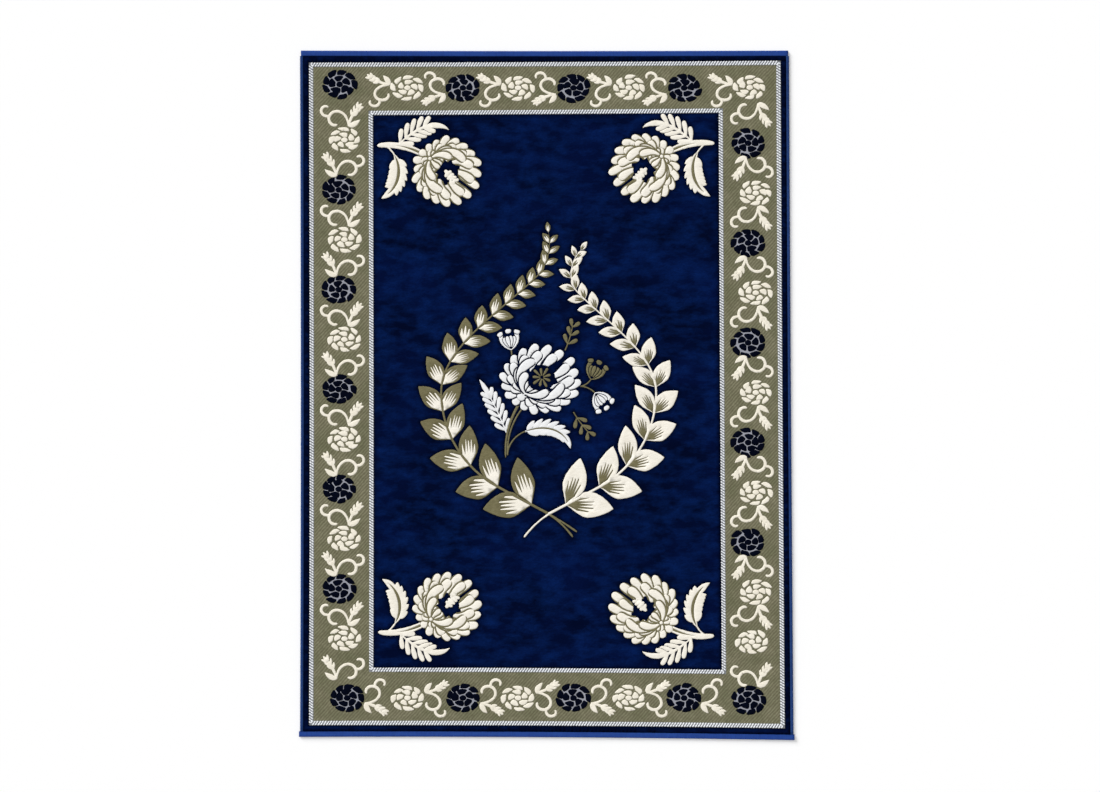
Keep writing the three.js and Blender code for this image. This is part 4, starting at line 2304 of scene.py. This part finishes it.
@dataclass
class Fillet:
    """A twisted silver fillet: two staggered rows of slanted floats over a grey bed."""

    name: str
    lines: list[np.ndarray]
    row: AlongLine
    seed: int
    pitch: float = 8.6
    width: float = 13.0
    height: float = 5.9
    radius: float = 2.6
    flatness: float = 0.6
    slant: float = 38.0

    def build(self) -> bpy.types.Object:
        """Makes the fillet along its four sides.

        Returns:
            The fillet's floats as one piece.
        """
        return self.row.run(
            self.name,
            [self.trimmed(line) for line in self.lines],
            self.height,
            self.floats(),
            FILLET_CORD,
            "fillet_yarn",
            Spacing=self.pitch * MM,
            Seed=self.seed,
            Lean_jitter=4.0,
            Size_jitter=0.06,
        )

    def trimmed(self, line: np.ndarray) -> np.ndarray:
        """The line with its ends drawn in, so that two sides don't share a float.

        Args:
            line: The fillet's middle line.

        Returns:
            The shorter line.
        """
        step = line[1] - line[0]
        back = line[-2] - line[-1]
        ends = self.pitch * 0.5
        line = line.copy()
        line[0] += step / abs(step) * ends
        line[-1] += back / abs(back) * ends
        return line

    def floats(self) -> bpy.types.Object:
        """Two slanted floats, one in each row, half a pitch apart.

        Returns:
            The pair of floats, which lies along +X.
        """
        vertices, faces = [], []
        lean = math.radians(self.slant)
        for side, stagger in ((1, -0.25), (-1, 0.25)):
            share = np.linspace(-1, 1, 6)
            length = self.width * 0.33
            across = side * self.width * 0.25 + share * length * math.cos(lean)
            along = stagger * self.pitch + share * length * math.sin(lean)
            rise = 1.4 * (1 - share**2)
            path = np.stack([along, across, rise], 1)
            radii = self.radius * np.sqrt(np.maximum(1 - (share * 0.93) ** 2, 0.05))
            ring, sides = tube(path, radii, 6)
            ring[:, 2] *= self.flatness
            faces += [[v + len(vertices) for v in face] for face in sides]
            vertices += ring.tolist()
        return pattern_shape(self.name + "_float", np.array(vertices), faces)


# ---------------- edge strips


@dataclass(frozen=True)
class StripSection:
    """The section of a strip folded round the raw edge, open towards the cloth."""

    width: float
    crest: float
    shoulder: float
    slot_low: float = 1.4
    slot_high: float = 4.6
    slot_left: float = 3.0
    steps: int = 14

    def outer(self) -> list[tuple[float, float]]:
        """From the top inner corner over the round bead to the floor, as inwards and up.

        Returns:
            The points.
        """
        radius = self.crest / 2
        points = [(self.width, self.shoulder - 0.9), (self.width - 0.7, self.shoulder)]
        span = self.width - 0.7 - radius
        for k in range(1, 5):
            share = k / 5
            lift = (self.crest - self.shoulder) * math.sin(share * math.pi / 2)
            points.append((self.width - 0.7 - span * share, self.shoulder + lift))
        for k in range(self.steps + 1):
            angle = math.pi / 2 + math.pi * k / self.steps
            points.append((radius + radius * math.cos(angle), radius + radius * math.sin(angle)))
        return points

    def closed(self) -> list[tuple[float, float]]:
        """The whole section, with the slot that the cloth's raw edge lies in.

        Returns:
            The points of the closed section.
        """
        slot = [
            (self.width, 0.0),
            (self.width, self.slot_low),
            (self.slot_left, self.slot_low),
            (self.slot_left, self.slot_high),
            (self.width, self.slot_high),
        ]
        return slot + self.outer()


@dataclass
class EdgeStrip:
    """A strip along one edge of the rug. Along runs anticlockwise round the rug."""

    name: str
    lay: Lay
    section: StripSection
    reach: float
    base: complex
    along: complex
    inwards: complex

    WAVES = np.array([31.0, 47.0, 83.0, 140.0, 260.0, 22.0])

    def points(self, inwards: np.ndarray, along: np.ndarray) -> np.ndarray:
        """Floor points that lie so far in from the edge and so far along it."""
        return self.lay.floor(self.base + self.inwards * inwards + self.along * along)

    def swept(self, step: float, pucker: float, seed: int) -> tuple[np.ndarray, list]:
        """Sweeps the section along the edge.

        Args:
            step: The distance between sections, in millimetres.
            pucker: How far the fold wavers in width and height.
            seed: The seed of its wavering.

        Returns:
            The vertices and faces of the closed strip.
        """
        random = np.random.default_rng(seed)
        outline = np.array(self.section.closed())
        count = round(2 * self.reach / step)
        stations = np.linspace(-self.reach, self.reach, count + 1)
        phases = random.uniform(0, 2 * math.pi, len(self.WAVES))
        wave = sum(np.sin(stations / l * 2 * math.pi + p) for l, p in zip(self.WAVES, phases)) / 4
        wave = wave + random.normal(0, 0.35, len(stations))
        rings = []
        for station, amount in zip(stations, wave):
            lifted = np.clip((outline[:, 1] - self.section.slot_high) / 3, 0, 1)
            into = outline[:, 0] + pucker * amount * lifted * (outline[:, 0] > self.section.width - 1.5)
            up = outline[:, 1] - pucker * 0.6 * abs(amount) * lifted
            flat = self.points(into, np.full(len(outline), station))
            rings.append(np.stack([flat.real, flat.imag, up], 1))
        size = len(outline)
        faces = []
        for k in range(count):
            for i in range(size):
                j = (i + 1) % size
                faces.append([k * size + i, k * size + j, (k + 1) * size + j, (k + 1) * size + i])
        faces.append(list(range(size))[::-1])
        faces.append([count * size + i for i in range(size)])
        return np.concatenate(rings), faces


@dataclass
class SideSerging:
    """The overcast side edge: thick yarn wrapped round and round the raw edge."""

    strip: EdgeStrip
    row: AlongLine
    seed: int
    pitch: float = 4.0
    yarn: float = 1.9

    def build(self) -> list[bpy.types.Object]:
        """Makes the padded core and the wraps over it.

        Returns:
            The core and the wraps.
        """
        vertices, faces = self.strip.swept(24, 0.0, self.seed)
        core = mesh_object(self.strip.name + "_core", vertices, faces)
        core.data.materials.append(SERGING_YARN.material())
        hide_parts(self.strip.name)
        stations = np.linspace(-self.strip.reach + 2, self.strip.reach - 2, 90)
        line = self.strip.points(np.zeros(len(stations)), stations)
        wraps = self.row.run(
            self.strip.name + "_wraps",
            [line],
            0.0,
            self.wrap(),
            SERGING_YARN,
            "side_serging",
            Spacing=self.pitch * MM,
            Seed=self.seed,
            Lean_jitter=2.5,
            Size_jitter=0.012,
        )
        return [core, wraps]

    def wrap(self) -> bpy.types.Object:
        """One turn of yarn over the edge, slanting a little as it goes.

        Returns:
            The turn of yarn.
        """
        radius = self.yarn / 2
        outer = np.array(self.strip.section.outer())[::2]
        inward, up = outer[:, 0], outer[:, 1]
        up = np.clip(up, radius * 0.9, None)
        share = np.linspace(-0.5, 0.5, len(outer))
        along = share * self.pitch * 0.9
        path = np.stack([along, inward, up], 1)
        radii = radius * np.where(np.abs(share) > 0.47, 0.5, 1.0)
        vertices, faces = tube(path, radii, 6)
        return pattern_shape(self.strip.name + "_wrap", vertices, faces)


@dataclass
class EndBinding:
    """Satin tape folded over the cut end and sewn down along its inner edge."""

    strip: EdgeStrip
    row: AlongLine
    seed: int
    stitch: float = 4.5
    stitch_inset: float = 1.8

    def build(self) -> list[bpy.types.Object]:
        """Makes the tape and its row of stitches.

        Returns:
            The tape and the stitches.
        """
        vertices, faces = self.strip.swept(7, 0.35, self.seed)
        tape = mesh_object(self.strip.name + "_tape", vertices, faces)
        tape.data.materials.append(TAPE.material())
        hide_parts(self.strip.name)
        stations = np.linspace(-self.strip.reach + 4, self.strip.reach - 4, 90)
        inset = np.full(len(stations), self.strip.section.width - self.stitch_inset)
        stitches = self.row.run(
            self.strip.name + "_stitches",
            [self.strip.points(inset, stations)],
            self.strip.section.shoulder + 0.05,
            self.thread(),
            BINDING_THREAD,
            "end_binding",
            Spacing=self.stitch * MM,
            Seed=self.seed,
            Lean_jitter=3.0,
            Size_jitter=0.05,
        )
        return [tape, stitches]

    def thread(self) -> bpy.types.Object:
        """One stitch: a short thread sunk at both ends.

        Returns:
            The stitch.
        """
        share = np.linspace(-1, 1, 5)
        path = np.stack([share * self.stitch * 0.38, share * 0.0, 0.25 - 0.5 * share**2], 1)
        vertices, faces = tube(path, 0.38 * np.sqrt(1 - (share * 0.8) ** 2), 5)
        return pattern_shape(self.strip.name + "_stitch", vertices, faces)


@dataclass
class Edges:
    """All four edge strips of the rug."""

    lay: Lay
    row: AlongLine
    side_section: StripSection = StripSection(9.5, 8.0, 7.4)
    end_section: StripSection = StripSection(17.0, 8.6, 7.8)

    def build(self) -> list[bpy.types.Object]:
        """Makes the bindings and the sergings.

        Returns:
            Every piece of them.
        """
        lay = self.lay
        side_reach = lay.half_length - lay.end_binding - lay.clearance
        made: list[bpy.types.Object] = []
        rows = [
            ("end_binding_bottom", lay.half_width + lay.bottom_overhang, -1j * lay.half_length, 1, 1j),
            ("end_binding_top", lay.half_width + lay.top_overhang, 1j * lay.half_length, -1, -1j),
        ]
        for seed, (name, reach, base, along, inwards) in enumerate(rows, 21):
            strip = EdgeStrip(name, lay, self.end_section, reach, base, along, inwards)
            made += EndBinding(strip, self.row, seed).build()
        rows = [
            ("side_serging_right", lay.half_width, 1j, -1),
            ("side_serging_left", -lay.half_width, -1j, 1),
        ]
        for seed, (name, base, along, inwards) in enumerate(rows, 31):
            strip = EdgeStrip(name, lay, self.side_section, side_reach, base, along, inwards)
            made += SideSerging(strip, self.row, seed).build()
        return made


# ---------------- floor, light and camera


@dataclass
class Studio:
    """A pale floor, plain soft light from the upper left, and a camera straight above."""

    aim: complex = 10 - 2j
    framed_width: float = 3418.8
    lens: float = 50.0
    sensor: float = 36.0
    pile_height: float = 8.0
    key_share: float = 0.38
    key_height: float = 28.0
    key_bearing: float = 132.0
    top_share: float = 0.34
    world_share: float = 0.28
    floor_reach: float = 40.0
    floor_drop: float = 0.0004

    def build(self) -> None:
        """Makes the floor, the lights, the world and the camera."""
        self.make_camera()
        self.make_floor()
        self.make_sun("key", self.key_share, self.key_height, self.key_bearing, 30)
        self.make_sun("overhead", self.top_share, 88, 60, 70)
        world = bpy.data.worlds.new("studio")
        bpy.context.scene.world = world
        world.use_nodes = True
        world.node_tree.nodes.clear()
        node = partial(add_node, world.node_tree)
        light, seen = (
            node("ShaderNodeBackground", {"Color": (1, 1, 1, 1), "Strength": strength}).outputs[0]
            for strength in (self.world_share, 1.0)
        )
        ray = node("ShaderNodeLightPath").outputs["Is Camera Ray"]
        mixed = node("ShaderNodeMixShader", {0: ray, 1: light, 2: seen})
        node("ShaderNodeOutputWorld", {"Surface": mixed.outputs[0]})
        bpy.context.scene.view_settings.view_transform = "Standard"

    def make_camera(self) -> None:
        """Hangs the camera over the rug, looking straight down."""
        camera = bpy.data.cameras.new("camera")
        camera.lens = self.lens
        camera.sensor_width = self.sensor
        camera.clip_end = 100
        made = bpy.data.objects.new("camera", camera)
        height = self.framed_width * self.lens / self.sensor + self.pile_height
        made.location = (self.aim.real * MM, self.aim.imag * MM, height * MM)
        bpy.context.scene.collection.objects.link(made)
        bpy.context.scene.camera = made

    def make_floor(self) -> None:
        """Lays a wide white floor just under the rug."""
        mesh = bpy.data.meshes.new("floor")
        far = self.floor_reach
        corners = [(-far, -far), (far, -far), (far, far), (-far, far)]
        mesh.from_pydata([(x, y, -self.floor_drop) for x, y in corners], [], [(0, 1, 2, 3)])
        floor = bpy.data.objects.new("floor", mesh)
        bpy.context.scene.collection.objects.link(floor)
        surface = Surface(
            "matt white floor", Base_Color=(1, 1, 1, 1), Roughness=1.0, Specular_IOR_Level=0.0
        )
        mesh.materials.append(surface.material)

    def make_sun(self, name: str, share: float, height: float, bearing: float, spread: float) -> None:
        """Adds a sun that gives a white floor this share of full white.

        Args:
            name: The light's name.
            share: The share of white.
            height: Its angle over the floor, in degrees.
            bearing: Where it stands, in degrees anticlockwise from +X.
            spread: Its angular size in degrees.
        """
        light = bpy.data.lights.new(name, "SUN")
        light.energy = share * math.pi / math.sin(math.radians(height))
        light.angle = math.radians(spread)
        made = bpy.data.objects.new(name, light)
        made.rotation_euler = (0, math.radians(90 - height), math.radians(bearing))
        bpy.context.scene.collection.objects.link(made)


# ---------------- the rug


def draw_chart(lay: Lay, bands: Bands) -> Chart:
    """Draws the whole design.

    Args:
        lay: How the cloth lies.
        bands: Its plain bands.

    Returns:
        The chart.
    """
    chart = Chart()
    bands.paint(chart)
    Border().paint(chart)
    Wreath().paint(chart)
    Bouquet().paint(chart)
    for name, middle, flip_x, flip_y in (
        ("top_left", -313 + 698j, 1, 1),
        ("top_right", 307 + 705j, -1, 1),
        ("bottom_left", -310 - 658j, 1, -1),
        ("bottom_right", 306 - 669j, -1, -1),
    ):
        CornerSpray(name, middle, flip_x, flip_y).paint(chart)
    return chart


def main() -> None:
    logging.basicConfig(level=logging.INFO, format="%(message)s")
    Studio().build()
    lay = Lay()
    bands = Bands(lay)
    cut = Cut(draw_chart(lay, bands))
    pads = WovenPads(cut, YARN_FINISHES).build()
    row = AlongLine()
    fillets = [
        Fillet("outer_fillet_cord", bands.fillet_line(bands.border_outer, False, 60), row, 41).build(),
        Fillet("inner_fillet_cord", bands.fillet_line(bands.border_inner, True, 60), row, 42).build(),
    ]
    edges = Edges(lay, row).build()
    ground = GroundCloth(lay).build()
    for piece in [ground, *pads, *fillets, *edges]:
        log.info("%s: %d faces", piece.name, len(piece.data.polygons))
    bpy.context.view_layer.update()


if __name__ == "__main__":
    main()
